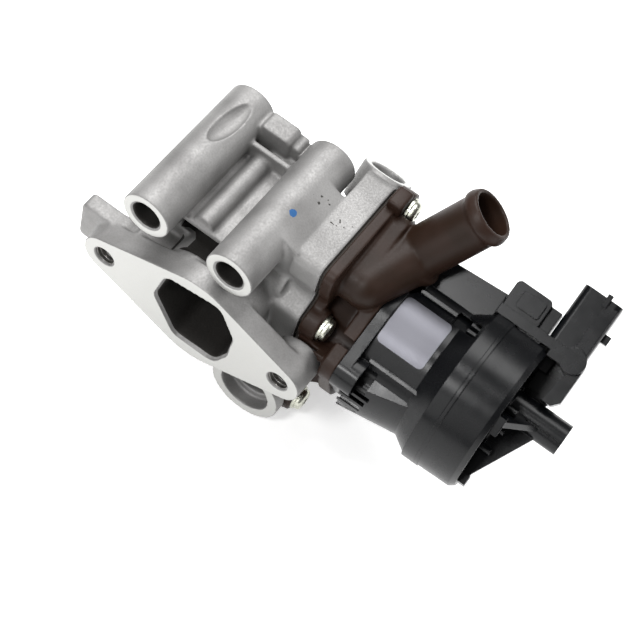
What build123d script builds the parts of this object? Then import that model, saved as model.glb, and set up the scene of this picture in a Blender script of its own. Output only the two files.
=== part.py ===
from build123d import *
import os
from math import cos, sin, radians

# Electric exhaust gas valve: cast housing, moulded coolant cover, motor and connector.
# X runs along the valve axis towards the motor, Y away from the inlet flange face,
# and Z upwards. The origin is the middle of the inlet flange face. Millimetres.

# Inlet flange
bolt_spacing = 63.5
flange_lobe_r = 7.4
flange_middle_r = 19.0
flange_middle_x = 1.0
flange_depth = 7.5
flange_thread_r = 3.4
thread_mouth = 0.4
lobe_depth = 12.0
port_corner_r = 4.0
port_width = 26.6
port_height = 27.6

# Valve axis and the turn of the motor about it
axis_y = 36.0
axis_z = -3.4
motor_turn = 31.0

# Bolt sleeves that clamp the housing to the engine
sleeve_r = 7.9
sleeve_bore_r = 4.5
sleeve_mouth_r = 5.1
sleeve_z = 28.5
sleeve_left_x = -22.3
sleeve_right_x = 7.0
sleeve_front_y = 3.0
sleeve_length = 52.0
lug_reach = 14.0
lug_front_y = 6.5
lug_back_y = 12.0
lug_low_z = -9.0
lug_top_z = 7.0
scoop_r = 20.0
scoop_depth = 2.1
scoop_y = 40.5
scoop_turn = 9.0

# Housing body
body_half = 20.5
body_corner_r = 9.0
body_left_x = -33.0
body_front_y = 15.0
body_back_y = 53.5
neck_width = 34.0
neck_height = 35.0
web_top_z = 24.2
web_floor_z = 17.0
web_front_y = 13.2
web_drop = 3.2
bead_r = 3.4
bead_x = -9.4
rib_wall = 1.8
rib_y = 42.6
rib_top_z = 30.0
step_top_z = 34.0
step_front_y = 47.2
step_width = 20.0
low_step = 2.4
shelf_edge_z = 32.0
shelf_front_y = 19.4
shelf_corner = 5.0

# Coolant jacket flange of the housing
jacket_left_x = 17.5
jacket_face_x = 27.0
jacket_wall = 8.6
jacket_floor = 3.0
jacket_corner_r = 3.4
jacket_front_y = 13.8
jacket_top_z = 32.3
jacket_back_y = 70.0
jacket_bottom_z = -40.8
tower_cut = 13.4
guide_tube_r = 8.5
guide_tube_end_x = 35.0

# Coolant ports of the housing
upper_port_x = 21.0
upper_port_bore_r = 5.5
upper_port_depth = 15.0
upper_port_r = 8.2
upper_port_rim = 1.2
upper_port_root = 11.0
upper_port_shift = 1.2
lower_port_x = 19.5
lower_port_z = -33.4
lower_port_y = 9.0
lower_port_r = 12.2
lower_port_bore_r = 6.2
lower_port_seat_r = 8.6
lower_port_seat_depth = 4.4
lower_port_rim = 4.4
lower_port_neck_r = 10.2

# Outlet port on the engine face
outlet_x = -21.0
outlet_width = 14.5
outlet_height = 27.0
outlet_face_y = 55.0

# Seat, poppet and guide
seat_r = 14.0
seat_bore_r = 10.2
seat_length = 5.0
seat_back_x = -7.5
disc_r = 11.8
disc_thick = 3.2
stem_r = 3.0
stem_end_x = 57.0
chamber_r = 12.5
chamber_end_x = 14.5
bush_r = 5.0
bush_length = 15.0
bush_x = 16.0
stem_clearance = 0.03
seal_length = 4.0
plug_r = 14.0
plug_length = 4.0
plug_wall = 1.5

# Coolant cover
gasket_thick = 0.9
gasket_inset = 1.5
cover_plate = 3.6
cover_inset = 0.3
cover_wall = 2.4
dome_height = 10.6
dome_draft = 22.0
cover_top_x = 44.0
turret_r = 16.4
turret_root_r = 21.0
platform_r = 24.0
platform_thick = 4.5
pilot_r = 15.0
pilot_depth = 2.6
tower_length = 5.4
pad_r = 5.2
boss_gap = 0.9

# Hose spigot of the cover
spigot_root = (42.8, 48.5, 22.5)
spigot_lean = 27.0
spigot_tilt = 60.6
spigot_length = 28.0
spigot_r = 8.0
spigot_bore_r = 6.7
spigot_bead_r = 8.8
spigot_bead_length = 4.4
collar_r = 9.6
duct_length = 26.0
duct_root_r = 9.0
duct_turn = 5.0
duct_drop_r = 5.0

# Hump that leads the water from the spigot over the cover
hump_end = (37.0, 31.0, 21.0)
hump_r = 8.6
hump_end_r = 7.0

# Cover screws
screw_r = 1.9
screw_hole_r = 2.1
screw_head_r = 3.6
screw_flange_r = 4.2
screw_flange = 0.9
screw_head_height = 2.9
screw_recess_r = 1.5
screw_depth = 9.0
screw_grip = 3.0
limiter_r = 2.8
motor_screw_grip = 4.0

# Motor casing
casing_plate = 3.6
barrel_r = 21.6
ring_r = 26.0
ring_length = 4.4
flare_length = 6.0
seam_x = 76.1
slot_u = 13.8
ear_r = 5.6
ear_circle_r = 24.6
ear_angles = (-14.0, 127.0, 252.0)
ear_seat = 2.2
ear_height = 7.0
pocket_r = 4.6
pocket_length = 8.0
web_reach = 29.0
gusset_r = 25.2
gusset_length = 26.5
gusset_top = 17.8
gusset_low = -9.0
fin_gap = 1.1
fin_pitch = 1.9
fin_count = 5
fin_slot = 9.0
fin_floor = 4.0
spring_chamber_r = 12.0
stem_hole_r = 4.5
stop_wall = 1.5
seal_wall = 1.1
seal_width = 1.2
seal_depth = 0.9

# Return spring and its cup
spring_r = 9.4
wire_r = 0.7
spring_turns = 5
spring_seat_x = 36.5
cup_x = 52.4
cup_wall = 1.2
cup_hub_r = 4.6
cup_hub_length = 3.4

# Bearings, rotor, spindle and stator
bearing_bore_r = 5.0
bearing_r = 9.5
bearing_width = 4.6
bearing_ring = 1.5
ball_r = 1.45
ball_count = 8
ball_clearance = 0.05
front_bearing_x = 55.6
rear_bearing_step = 1.3
spindle_r = 3.5
spindle_gap = 0.9
spindle_clearance = 0.05
magnet_wall = 4.0
magnet_r = 12.2
magnet_length = 15.0
air_gap = 0.6
stator_r = 19.2
stator_length = 15.0
stator_x = 60.6
pole_count = 6
pole_width = 5.0
yoke = 2.2
coil_thick = 1.9
sensor_magnet_r = 2.4
sensor_magnet_length = 3.0

# End cap
cap_length = 13.6
cap_roof = 2.0
cap_draft = 0.6
cap_seal_setback = 1.8
cap_seal_width = 1.4
end_plate_gap = 0.2
end_plate_ledge = 2.0
rim_height = 1.6
face_rim = 3.2
face_step = 2.2
boss_skirt = 5.0
board_setback = 1.6
board_space = 0.4
board_thick = 1.6
board_gap = 1.5
chip_height = 1.0
end_boss_r = 5.1
end_boss_u = 5.1
end_boss_height = 18.3
end_bore_r = 3.0
end_groove = 0.5
end_groove_start = 6.0
rib_thick = 2.0

# Connector arm
arm_lap = 5.6
arm_overhang = 7.4
arm_low_u = 22.4
arm_high_u = 27.6
arm_half = 9.0
box_length = 12.4
box_high_u = 36.3
box_corner_r = 1.6
box_step = 3.6
knuckle_r = 4.0
shell_setback = 10.0
shell_width = 13.0
shell_end_u = 46.2
shell_wall = 1.7
shell_corner_r = 2.2
drop_wall = 3.0
drop_low_u = 11.0
socket_depth = 12.0
pin_count = 5
pin_size = 0.8
pin_pitch = 2.6
pin_gap = 4.0

# Small parts
label_length = 16.0
label_width = 16.0
label_thick = 0.35
label_x = 56.0
label_u = 5.4
small_gap = 0.3
body_gap = 0.05
beyond = 150.0


# Places that follow from the sizes above

ear_seat_x = cover_top_x + ear_seat
pocket_end_x = ear_seat_x + pocket_length
gusset_end_x = cover_top_x + gusset_length
cap_end_x = seam_x + cap_length
cap_end_r = ring_r - cap_draft
cap_seal_r = ring_r - cap_seal_setback
end_plate_r = cap_seal_r - cap_seal_width - end_plate_gap
board_r = end_plate_r - board_setback
end_boss_x = cap_end_x + end_boss_height
rear_bearing_x = seam_x + rear_bearing_step
board_x = rear_bearing_x + bearing_width + board_gap
spindle_end_x = board_x - chip_height - spindle_gap
arm_start_x = seam_x - arm_lap
arm_end_x = cap_end_x + arm_overhang
box_end_x = arm_start_x + box_length
shell_start_x = arm_end_x - shell_setback
shell_end_x = shell_start_x + shell_width


# Helpers for placing pieces

def rod_x(r, x0, x1, y=0.0, z=0.0):
    """Round bar along X."""
    return Pos(x0, y, z) * Rot(0, 90, 0) * Cylinder(r, x1 - x0, align=(Align.CENTER, Align.CENTER, Align.MIN))


def rod_y(r, x, z, y0, y1):
    """Round bar along Y."""
    return Pos(x, y0, z) * Rot(-90, 0, 0) * Cylinder(r, y1 - y0, align=(Align.CENTER, Align.CENTER, Align.MIN))


def block(x0, x1, y0, y1, z0, z1):
    """Box between two corners."""
    return Pos(x0, y0, z0) * Box(x1 - x0, y1 - y0, z1 - z0, align=(Align.MIN, Align.MIN, Align.MIN))


def ring_x(r_out, r_in, x0, x1):
    """Plain ring about the X axis."""
    return rod_x(r_out, x0, x1) - rod_x(r_in, x0, x1)


def turned(points):
    """Solid turned about the X axis from a half profile of (x, radius) points."""
    return revolve(make_face(Polyline(*points, close=True)), axis=Axis.X)


def on_axis(piece):
    """Moves a piece from the valve axis to its place in the housing."""
    return Pos(0, axis_y, axis_z) * piece


def on_motor(piece):
    """Moves a piece from the motor's own frame, turned about the valve axis."""
    return Pos(0, axis_y, axis_z) * Rot(motor_turn, 0, 0) * piece


def about_axis(piece, angle):
    """Turns a piece about the X axis."""
    return Rot(angle, 0, 0) * piece


def plate_yz(sketch, x0, x1):
    """Flat plate across the valve axis from a sketch in Y and Z."""
    return extrude(Plane((x0, 0, 0), x_dir=(0, 1, 0), z_dir=(1, 0, 0)) * sketch, amount=x1 - x0)


def write(piece, name):
    """Writes one node."""
    solids = piece.solids()
    body = solids[0] if len(solids) == 1 else Compound(children=list(solids))
    export_step(body, f"parts/{name}.step")


# Outlines

def screw_places():
    """Middle of each cover screw in Y and Z."""
    return [
        (jacket_front_y + 4.4, 9.6),
        (jacket_front_y + 5.2, jacket_bottom_z + 5.2),
        (jacket_back_y - 13.4, jacket_top_z - 4.7),
        (jacket_back_y - 5.4, -8.0),
        (jacket_back_y - 16.0, jacket_bottom_z + 5.4),
    ]


def jacket_outline():
    """Lobed outline of the coolant jacket flange in Y and Z."""
    front, back = jacket_front_y, jacket_back_y
    top, low = jacket_top_z, jacket_bottom_z
    points = [
        (front, low),
        (front, low + 11),
        (front + 3.4, low + 19),
        (front, -3),
        (front, 12.5),
        (front + 7.6, 16.5),
        (front + 5, 22.5),
        (front + 5, top),
        (back - tower_cut, top),
        (back, top - tower_cut),
        (back, -14),
        (back - 10, low + 12),
        (back - 10, low),
    ]
    sketch = make_face(Polyline(*points, close=True))
    return fillet(sketch.vertices(), jacket_corner_r)


def inner_outline(wall):
    """Outline of the jacket flange moved inwards by a wall."""
    return offset(jacket_outline(), -wall)


def flange_outline():
    """Two-bolt flange outline in X and Z: three circles joined by their tangents."""
    half = bolt_spacing / 2
    with BuildSketch() as sketch:
        with BuildLine():
            for x in (-half, half):
                CenterArc((x, 0), flange_lobe_r, 0, 360)
            CenterArc((flange_middle_x, 0), flange_middle_r, 0, 360)
        make_hull()
    return sketch.sketch


def port_outline():
    """Rounded port opening in X and Z."""
    w, h = port_width / 2, port_height / 2
    points = [
        (-0.76 * w, 0.86 * h),
        (0.62 * w, 1.08 * h),
        (1.08 * w, 0.35 * h),
        (1.04 * w, -0.4 * h),
        (0.78 * w, -0.95 * h),
        (-0.3 * w, -0.98 * h),
        (-0.96 * w, -0.05 * h),
    ]
    return fillet(make_face(Polyline(*points, close=True)).vertices(), port_corner_r)


def across_y(sketch, y0, y1):
    """Extrudes an X and Z sketch from one Y to another."""
    return extrude(Plane((0, y0, 0), x_dir=(1, 0, 0), z_dir=(0, -1, 0)) * sketch, amount=-(y1 - y0))


def ear_place(angle):
    """Middle of a screw ear in u and v."""
    return ear_circle_r * cos(radians(angle)), ear_circle_r * sin(radians(angle))


def motor_outline(middle_r):
    """Outline of the motor plate in u and v: a circle with three screw ears."""
    with BuildSketch() as sketch:
        with BuildLine():
            CenterArc((0, 0), middle_r, 0, 360)
            for angle in ear_angles:
                CenterArc(ear_place(angle), ear_r, 0, 360)
        make_hull()
    return sketch.sketch


# Cast housing

def sleeve(x):
    """One bolt sleeve without its bore."""
    return rod_y(sleeve_r, x, sleeve_z, sleeve_front_y, sleeve_front_y + sleeve_length)


def sleeve_bore(x):
    """Through bore of a sleeve with its two countersunk mouths."""
    back_y = sleeve_front_y + sleeve_length
    bore = rod_y(sleeve_bore_r, x, sleeve_z, sleeve_front_y - 1, back_y + 1)
    step = sleeve_mouth_r - sleeve_bore_r
    for y0 in (sleeve_front_y, back_y - step):
        bore += rod_y(sleeve_mouth_r, x, sleeve_z, y0, y0 + step)
    return bore


def housing_web():
    """Web between the sleeves: a flat strip, a round bead, a cross rib and a stepped block behind it."""
    end_y = rib_y + rib_wall / 2
    web = block(sleeve_left_x, sleeve_right_x, web_front_y, body_back_y - 2.0, web_floor_z, web_top_z - web_drop)
    web += block(sleeve_left_x, sleeve_right_x, web_front_y, end_y, web_floor_z, web_top_z)
    web += rod_y(bead_r, bead_x, web_top_z, web_front_y + 0.8, end_y)
    web += block(sleeve_left_x, jacket_left_x, rib_y, rib_y + rib_wall, web_floor_z, rib_top_z)
    step_x = sleeve_left_x + sleeve_r
    step = block(step_x - 1, step_x + step_width / 2, step_front_y, body_back_y + 0.5, web_floor_z, step_top_z)
    web += chamfer(step.edges().filter_by(Axis.Y).group_by(Axis.Z)[-1], 1.2)
    lower = block(step_x - 1, step_x + step_width * 0.65, step_front_y + 1.5, body_back_y + 1.0, web_floor_z,
                  step_top_z - low_step)
    web += chamfer(lower.edges().filter_by(Axis.Y).group_by(Axis.Z)[-1], 0.9)
    web += block(bead_x, sleeve_right_x, rib_y, body_back_y - 0.5, web_floor_z, web_top_z + 2.0)
    return web


def shelf():
    """Sloping plateau from the right sleeve to the jacket flange, cut off across its front corner."""
    top_z = sleeve_z + sleeve_r
    right_x = jacket_left_x + 1
    back_y = rib_y + rib_wall
    outline = Plane.XZ * make_face(Polyline(
        (sleeve_right_x, 10), (sleeve_right_x, top_z), (sleeve_right_x + 3.2, top_z - 0.7),
        (right_x, shelf_edge_z), (right_x, 10), close=True))
    plateau = extrude(Pos(0, shelf_front_y, 0) * outline, amount=-(back_y - shelf_front_y))
    plan = make_face(Polyline(
        (sleeve_right_x, back_y), (sleeve_right_x, shelf_front_y + shelf_corner),
        (sleeve_right_x + shelf_corner, shelf_front_y), (right_x, shelf_front_y), (right_x, back_y), close=True))
    return plateau & extrude(plan, amount=top_z + 1)


def housing_body():
    """Solid outside shape of the housing."""
    half = bolt_spacing / 2
    core = block(body_left_x, jacket_left_x + 1, body_front_y, body_back_y, -body_half, body_half)
    core = fillet(core.edges().filter_by(Axis.X), body_corner_r)
    neck = fillet(Rectangle(neck_width, neck_height).vertices(), 11.0)
    core += across_y(Pos(flange_middle_x, 0) * neck, flange_depth - 1, axis_y)
    core += across_y(flange_outline(), 0, flange_depth)
    for x in (-half, half):
        core += rod_y(flange_lobe_r, x, 0, 0, lobe_depth)
    lug = block(-half - lug_reach, -half + 9, lug_front_y, lug_back_y, lug_low_z, lug_top_z)
    core += fillet(lug.edges().filter_by(Axis.Y), 1.6)
    core += block(-half + 5, -neck_width / 2 + 3, lug_front_y, lug_back_y + 5, lug_low_z, lug_top_z + 3)
    core += housing_web()
    core += sleeve(sleeve_left_x) + sleeve(sleeve_right_x)
    core += shelf()
    outlet_pad = fillet(Rectangle(outlet_width + 9, outlet_height + 9).vertices(), 8.0)
    core += across_y(Pos(outlet_x, 0) * outlet_pad, body_back_y - 4, outlet_face_y)
    return core


def jacket_part():
    """Coolant jacket flange with the lower port ring in front of it."""
    jacket = plate_yz(jacket_outline(), jacket_left_x, jacket_face_x)
    port = rod_y(lower_port_r, lower_port_x, lower_port_z, lower_port_y, lower_port_y + lower_port_rim)
    neck = rod_y(lower_port_neck_r, lower_port_x, lower_port_z, lower_port_y, jacket_front_y + 22)
    neck -= block(jacket_face_x, beyond, lower_port_y, beyond, -beyond, 0)
    root = block(jacket_left_x - 14, jacket_left_x + 1, jacket_front_y + 8, 50, -34, -12)
    return jacket + port + neck + fillet(root.edges().filter_by(Axis.X), 5.0) + upper_port_boss()


def upper_port_frame():
    """Plane of the upper coolant port: its face looks back and up at 45 degrees."""
    aside = upper_port_shift * cos(radians(45))
    middle = (upper_port_x, jacket_back_y - tower_cut / 2 + aside, jacket_top_z - tower_cut / 2 - aside)
    return Plane(middle, x_dir=(1, 0, 0), z_dir=(0, 1, 1))


def upper_port_boss():
    """Round boss of the upper port: buried in the flange below, a full ring above its face."""
    root = Cylinder(upper_port_r, upper_port_root, align=(Align.CENTER, Align.CENTER, Align.MAX))
    rim = Cylinder(upper_port_r, upper_port_rim, align=(Align.CENTER, Align.CENTER, Align.MIN))
    root = upper_port_frame() * root - block(jacket_face_x, beyond, -beyond, beyond, -beyond, beyond)
    return root + upper_port_frame() * rim


def housing_voids():
    """Everything that is bored or cored out of the housing."""
    half = bolt_spacing / 2
    voids = across_y(port_outline(), -1, axis_y)
    voids += across_y(scale(port_outline(), 1.04), -1, 1.0)
    for x in (-half, half):
        voids += rod_y(flange_thread_r, x, 0, -1, lobe_depth - 1.5)
        mouth = Cone(flange_thread_r + thread_mouth, flange_thread_r, thread_mouth,
                     align=(Align.CENTER, Align.CENTER, Align.MIN))
        voids += Pos(x, 0, 0) * Rot(-90, 0, 0) * mouth
    voids += on_axis(rod_x(chamber_r, seat_back_x - 0.1, chamber_end_x))
    voids += on_axis(rod_x(seat_r, body_left_x - 1, seat_back_x))
    outlet = fillet(Rectangle(outlet_width, outlet_height).vertices(), 6.5)
    voids += across_y(Pos(outlet_x, 0) * outlet, axis_y, outlet_face_y + 1)
    cavity = plate_yz(inner_outline(jacket_wall), jacket_left_x + jacket_floor, jacket_face_x + 1)
    voids += cavity - on_axis(rod_x(guide_tube_r, 0, guide_tube_end_x + 1))
    voids += on_axis(rod_x(bush_r, bush_x, jacket_face_x + 20))
    voids += on_axis(rod_x(stem_r + 0.8, chamber_end_x - 1, bush_x + 1))
    for y, z in screw_places():
        voids += rod_x(screw_r, screw_tip_x() - 0.4, jacket_face_x + 1, y, z)
    frame = upper_port_frame()
    bore = Cylinder(upper_port_bore_r, upper_port_depth + upper_port_rim + 1,
                    align=(Align.CENTER, Align.CENTER, Align.MAX))
    voids += frame * Pos(0, 0, upper_port_rim + 1) * bore
    voids += rod_y(lower_port_bore_r, lower_port_x, lower_port_z, lower_port_y - 1, jacket_front_y + 17)
    voids += rod_y(lower_port_seat_r, lower_port_x, lower_port_z, lower_port_y - 1,
                   lower_port_y + lower_port_seat_depth)
    for x in (sleeve_left_x, sleeve_right_x):
        voids += sleeve_bore(x)
    return voids


def scoop():
    """Shallow round scoop in the top of the left sleeve."""
    reach = sleeve_r + scoop_r - scoop_depth
    return Pos(sleeve_left_x, scoop_y, sleeve_z) * Rot(0, scoop_turn, 0) * Pos(0, 0, reach) * Sphere(scoop_r)


def screw_tip_x():
    """Place of the cover screws' tips."""
    return jacket_face_x - screw_depth + screw_grip + 2.6


def valve_housing():
    """Cast housing with inlet flange, sleeves, outlet and coolant jacket."""
    body = housing_body() + jacket_part()
    body += on_axis(rod_x(guide_tube_r, jacket_left_x, guide_tube_end_x))
    body -= housing_voids()
    return body - scoop()


# Valve pieces on the valve axis

def seat_ring():
    """Hard seat ring with its bevelled seat on the outlet side."""
    front = seat_back_x - seat_length
    bevel = disc_r - seat_bore_r + 0.6
    return turned([
        (front, seat_bore_r + bevel), (front, seat_r), (seat_back_x, seat_r),
        (seat_back_x, seat_bore_r), (front + bevel, seat_bore_r),
    ])


def poppet_valve():
    """Disc with a bevelled rim and its long stem."""
    face = seat_back_x - seat_length + 0.6
    bevel = disc_r - seat_bore_r
    head = face - disc_thick
    return turned([
        (head, 0), (head, disc_r - 0.8), (head + 0.8, disc_r), (face, disc_r),
        (face + bevel, disc_r - bevel), (face + bevel + 1.5, stem_r + 2.2),
        (face + bevel + 4.5, stem_r), (stem_end_x - 0.6, stem_r), (stem_end_x, stem_r - 0.6), (stem_end_x, 0),
    ])


def stem_bush():
    """Plain bush that guides the stem."""
    return ring_x(bush_r, stem_r + stem_clearance, bush_x, bush_x + bush_length)


def stem_seal():
    """Lip seal at the dry end of the bush."""
    start = bush_x + bush_length
    return turned([
        (start, stem_r + stem_clearance), (start, bush_r), (start + seal_length * 0.45, bush_r),
        (start + seal_length * 0.45, stem_r + 1.0), (start + 1.0, stem_r + 1.0), (start + 1.0, stem_r + stem_clearance),
    ])


def end_plug():
    """Pressed steel cup that closes the bore through which the seat is fitted."""
    start = body_left_x
    return turned([
        (start, plug_r - plug_wall), (start, plug_r), (start + plug_length, plug_r),
        (start + plug_length, 0), (start + plug_length - plug_wall, 0),
        (start + plug_length - plug_wall, plug_r - plug_wall),
    ])


# Coolant cover

def cover_gasket():
    """Moulded gasket between the jacket flange and the cover."""
    gasket = plate_yz(inner_outline(gasket_inset), jacket_face_x, jacket_face_x + gasket_thick)
    gasket -= plate_yz(inner_outline(jacket_wall), jacket_face_x - 1, cover_top_x)
    gasket += on_axis(rod_x(guide_tube_r + 3, jacket_face_x, jacket_face_x + gasket_thick))
    gasket -= on_axis(rod_x(guide_tube_r, 0, beyond))
    gasket -= lobe_clearance()
    for y, z in screw_places():
        gasket -= rod_x(screw_hole_r, 0, beyond, y, z)
    return gasket.solids().sort_by(SortBy.VOLUME)[-1]


def lobe_clearance():
    """Space that the flange lobe needs in the pieces behind it."""
    return rod_y(flange_lobe_r + boss_gap, bolt_spacing / 2, 0, -1, lobe_depth + boss_gap)


def spigot_frame():
    """Plane at the root of the hose spigot, looking out along it."""
    lean, tilt = radians(spigot_lean), radians(spigot_tilt)
    direction = (sin(lean), cos(lean) * cos(tilt), cos(lean) * sin(tilt))
    return Plane(spigot_root, x_dir=(cos(lean), -sin(lean) * cos(tilt), -sin(lean) * sin(tilt)), z_dir=direction)


def spigot_outside():
    """Outside of the duct, its collar and the spigot with its end bead."""
    end = spigot_length
    bead = end - spigot_bead_length
    profile = [
        (0, -duct_length), (duct_root_r, -duct_length), (collar_r - 1.2, -1.5), (collar_r, -1.0), (collar_r, 1.2),
        (spigot_r, 1.6), (spigot_r, bead), (spigot_bead_r, bead + 0.7), (spigot_bead_r, end - 2.2),
        (spigot_r, end), (0, end),
    ]
    face = Plane.XZ * make_face(Polyline(*profile, close=True))
    return spigot_frame() * revolve(face, axis=Axis.Z)


def duct_space():
    """Room that the duct and its collar need beside the motor."""
    room = Pos(0, 0, -duct_length) * Cylinder(collar_r + small_gap, duct_length + spigot_length,
                                              align=(Align.CENTER, Align.CENTER, Align.MIN))
    return spigot_frame() * room


def spigot_inside():
    """Water way: along the spigot, then straight down into the coolant space."""
    way = Pos(0, 0, -duct_turn) * Cylinder(spigot_bore_r, spigot_length + duct_turn + 1,
                                           align=(Align.CENTER, Align.CENTER, Align.MIN))
    x, y, z = spigot_frame().from_local_coords((0, 0, -duct_turn)).to_tuple()
    drop = rod_x(duct_drop_r, jacket_face_x + gasket_thick + 2, x + 1, y, z)
    return spigot_frame() * way + drop


def hump():
    """Hump from the foot of the spigot across the cover, with straight sides down to the plate."""
    start, end = Vector(*spigot_root), Vector(*hump_end)
    run = end - start
    body = Plane(start, z_dir=run) * Cone(hump_r, hump_end_r, run.length, align=(Align.CENTER, Align.CENTER, Align.MIN))
    body += Pos(*hump_end) * Sphere(hump_end_r)
    base_x = jacket_face_x + gasket_thick
    with BuildSketch() as foot:
        with BuildLine():
            CenterArc((start.Y, start.Z), hump_r - 0.4, 0, 360)
            CenterArc((end.Y, end.Z), hump_end_r - 0.2, 0, 360)
        make_hull()
    sides = plate_yz(foot.sketch, base_x, end.X)
    return body + sides


def screw_tower(y, z, top_x):
    """Raised round pad below a screw head."""
    return rod_x(pad_r, jacket_face_x + gasket_thick, top_x, y, z)


def screw_seat_x():
    """Height of the pads that the cover screws bear on."""
    return jacket_face_x + gasket_thick + tower_length


def cover_dome(wall, height):
    """Raised middle of the cover over the coolant space."""
    foot = Plane((jacket_face_x + gasket_thick, 0, 0), x_dir=(0, 1, 0), z_dir=(1, 0, 0))
    return extrude(foot * inner_outline(jacket_wall - wall), amount=height, taper=dome_draft)


def coolant_cover():
    """Moulded cover that closes the coolant jacket and carries the motor."""
    base_x = jacket_face_x + gasket_thick
    cover = plate_yz(inner_outline(cover_inset), base_x, base_x + cover_plate)
    cover += cover_dome(cover_wall, dome_height)
    cover += on_axis(turned([
        (base_x, 0), (base_x, turret_root_r), (cover_top_x - platform_thick, turret_r + 1.6),
        (cover_top_x, turret_r + 1.6), (cover_top_x, 0)]))
    cover += on_motor(plate_yz(motor_outline(platform_r), cover_top_x - platform_thick, cover_top_x))
    for angle in ear_angles:
        rib = block(base_x + 1, cover_top_x - 1, 0, ear_circle_r + 3, -rib_thick / 2, rib_thick / 2)
        cover += on_motor(about_axis(rib, angle))
    for y, z in screw_places():
        cover += screw_tower(y, z, screw_seat_x())
    for y, z in screw_places():
        cover -= rod_x(screw_flange_r + small_gap, screw_seat_x(), beyond, y, z)
    cover += spigot_outside() + hump()
    cover -= cover_voids(base_x)
    return cover.solids().sort_by(SortBy.VOLUME)[-1]


def cover_voids(base_x):
    """Everything that is cored out of the cover."""
    voids = cover_dome(0, dome_height - cover_wall) - on_axis(rod_x(guide_tube_r + 4.0, base_x - 2, cover_top_x))
    voids += spigot_inside()
    voids += on_axis(rod_x(guide_tube_r + body_gap, base_x - 1, guide_tube_end_x + body_gap))
    voids += on_axis(rod_x(stem_r + 1.6, base_x - 1, cover_top_x + 1))
    voids += on_axis(rod_x(spring_r + wire_r + 0.5, spring_seat_x, cover_top_x + 1))
    voids += on_axis(rod_x(pilot_r, cover_top_x - pilot_depth, cover_top_x + 1))
    voids += on_axis(rod_x(barrel_r + small_gap, cover_top_x, seam_x))
    voids += block(0, base_x, -beyond, beyond, -beyond, beyond)
    voids += lobe_clearance()
    for y, z in screw_places():
        voids += rod_x(screw_hole_r, base_x - 1, screw_seat_x() + 1, y, z)
        voids += rod_x(screw_flange_r + small_gap / 3, screw_seat_x(), screw_seat_x() + screw_head_height + small_gap, y, z)
    for angle in ear_angles:
        u, v = ear_place(angle)
        voids += on_motor(rod_x(screw_r, cover_top_x - motor_screw_grip - 0.4, cover_top_x + 1, u, v))
    return voids


def round_head_screw(length):
    """Screw with a flanged round head and a cross recess, head towards +X from x = 0."""
    shank = rod_x(screw_r, -length, screw_flange)
    head = rod_x(screw_flange_r, 0, screw_flange)
    dome = rod_x(screw_head_r, screw_flange, screw_head_height)
    head += fillet(dome.edges().group_by(Axis.X)[-1], 1.3)
    cross = block(screw_head_height - 1.4, 5, -screw_recess_r, screw_recess_r, -0.45, 0.45)
    return shank + head - cross - about_axis(cross, 90)


def cover_screws():
    """The five plated screws that hold the cover."""
    length = screw_seat_x() - screw_tip_x()
    group = [Pos(screw_seat_x(), y, z) * round_head_screw(length) for y, z in screw_places()]
    return Compound(children=[s.solid() for s in group])


# Motor casing, in the motor's own frame: X along the axis, Y is u, Z is v

def gusset():
    """Flat-topped swell that stiffens a screw ear and runs out at the flare, slotted into fins at the plate."""
    start = cover_top_x + casing_plate - 0.5
    swell = turned([(start, 0), (start, gusset_r), (gusset_end_x, barrel_r), (gusset_end_x, 0)])
    swell = swell & block(start, gusset_end_x, -beyond, -8.0, gusset_low, gusset_top)
    top_u = -(gusset_r ** 2 - gusset_top ** 2) ** 0.5
    for i in range(fin_count - 1):
        u = top_u - i * fin_pitch
        swell -= block(start - 1, start + fin_slot - i * 0.8, u - fin_gap, u, fin_floor, beyond)
    return swell


def casing_arm():
    """Wide web from the top ear to the connector arm."""
    start = cover_top_x + casing_plate - 0.5
    end = arm_start_x - body_gap
    web = block(start, end, barrel_r - 2, web_reach, -rib_thick / 2, rib_thick / 2)
    for v in (-7.5, 7.5):
        side = Plane.XY * make_face(Polyline(
            (start, barrel_r - 3), (start, web_reach), (end, web_reach + 1.5), (end, barrel_r - 3), close=True))
        web += Pos(0, 0, v - rib_thick / 2) * extrude(side, amount=rib_thick)
    return web


def casing_outside():
    """Outside of the casing: ear plate, barrel, flare and seam ring."""
    x0 = cover_top_x
    flare_x = seam_x - ring_length - flare_length
    shell = turned([
        (x0, 0), (x0, barrel_r), (flare_x, barrel_r), (seam_x - ring_length, ring_r - 0.6),
        (seam_x - ring_length, ring_r), (seam_x, ring_r), (seam_x, 0),
    ])
    shell += plate_yz(motor_outline(barrel_r + 0.8), x0, x0 + casing_plate)
    for angle in ear_angles:
        shell += rod_x(ear_r, x0, x0 + ear_height, *ear_place(angle))
    shell += gusset() + casing_arm()
    for u in (-9.0, 16.2):
        v = (barrel_r ** 2 - u ** 2) ** 0.5
        shell += block(x0 + 6, seam_x - ring_length, u, u + 1.2, v - 1.5, v + 0.9)
    return shell


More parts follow.
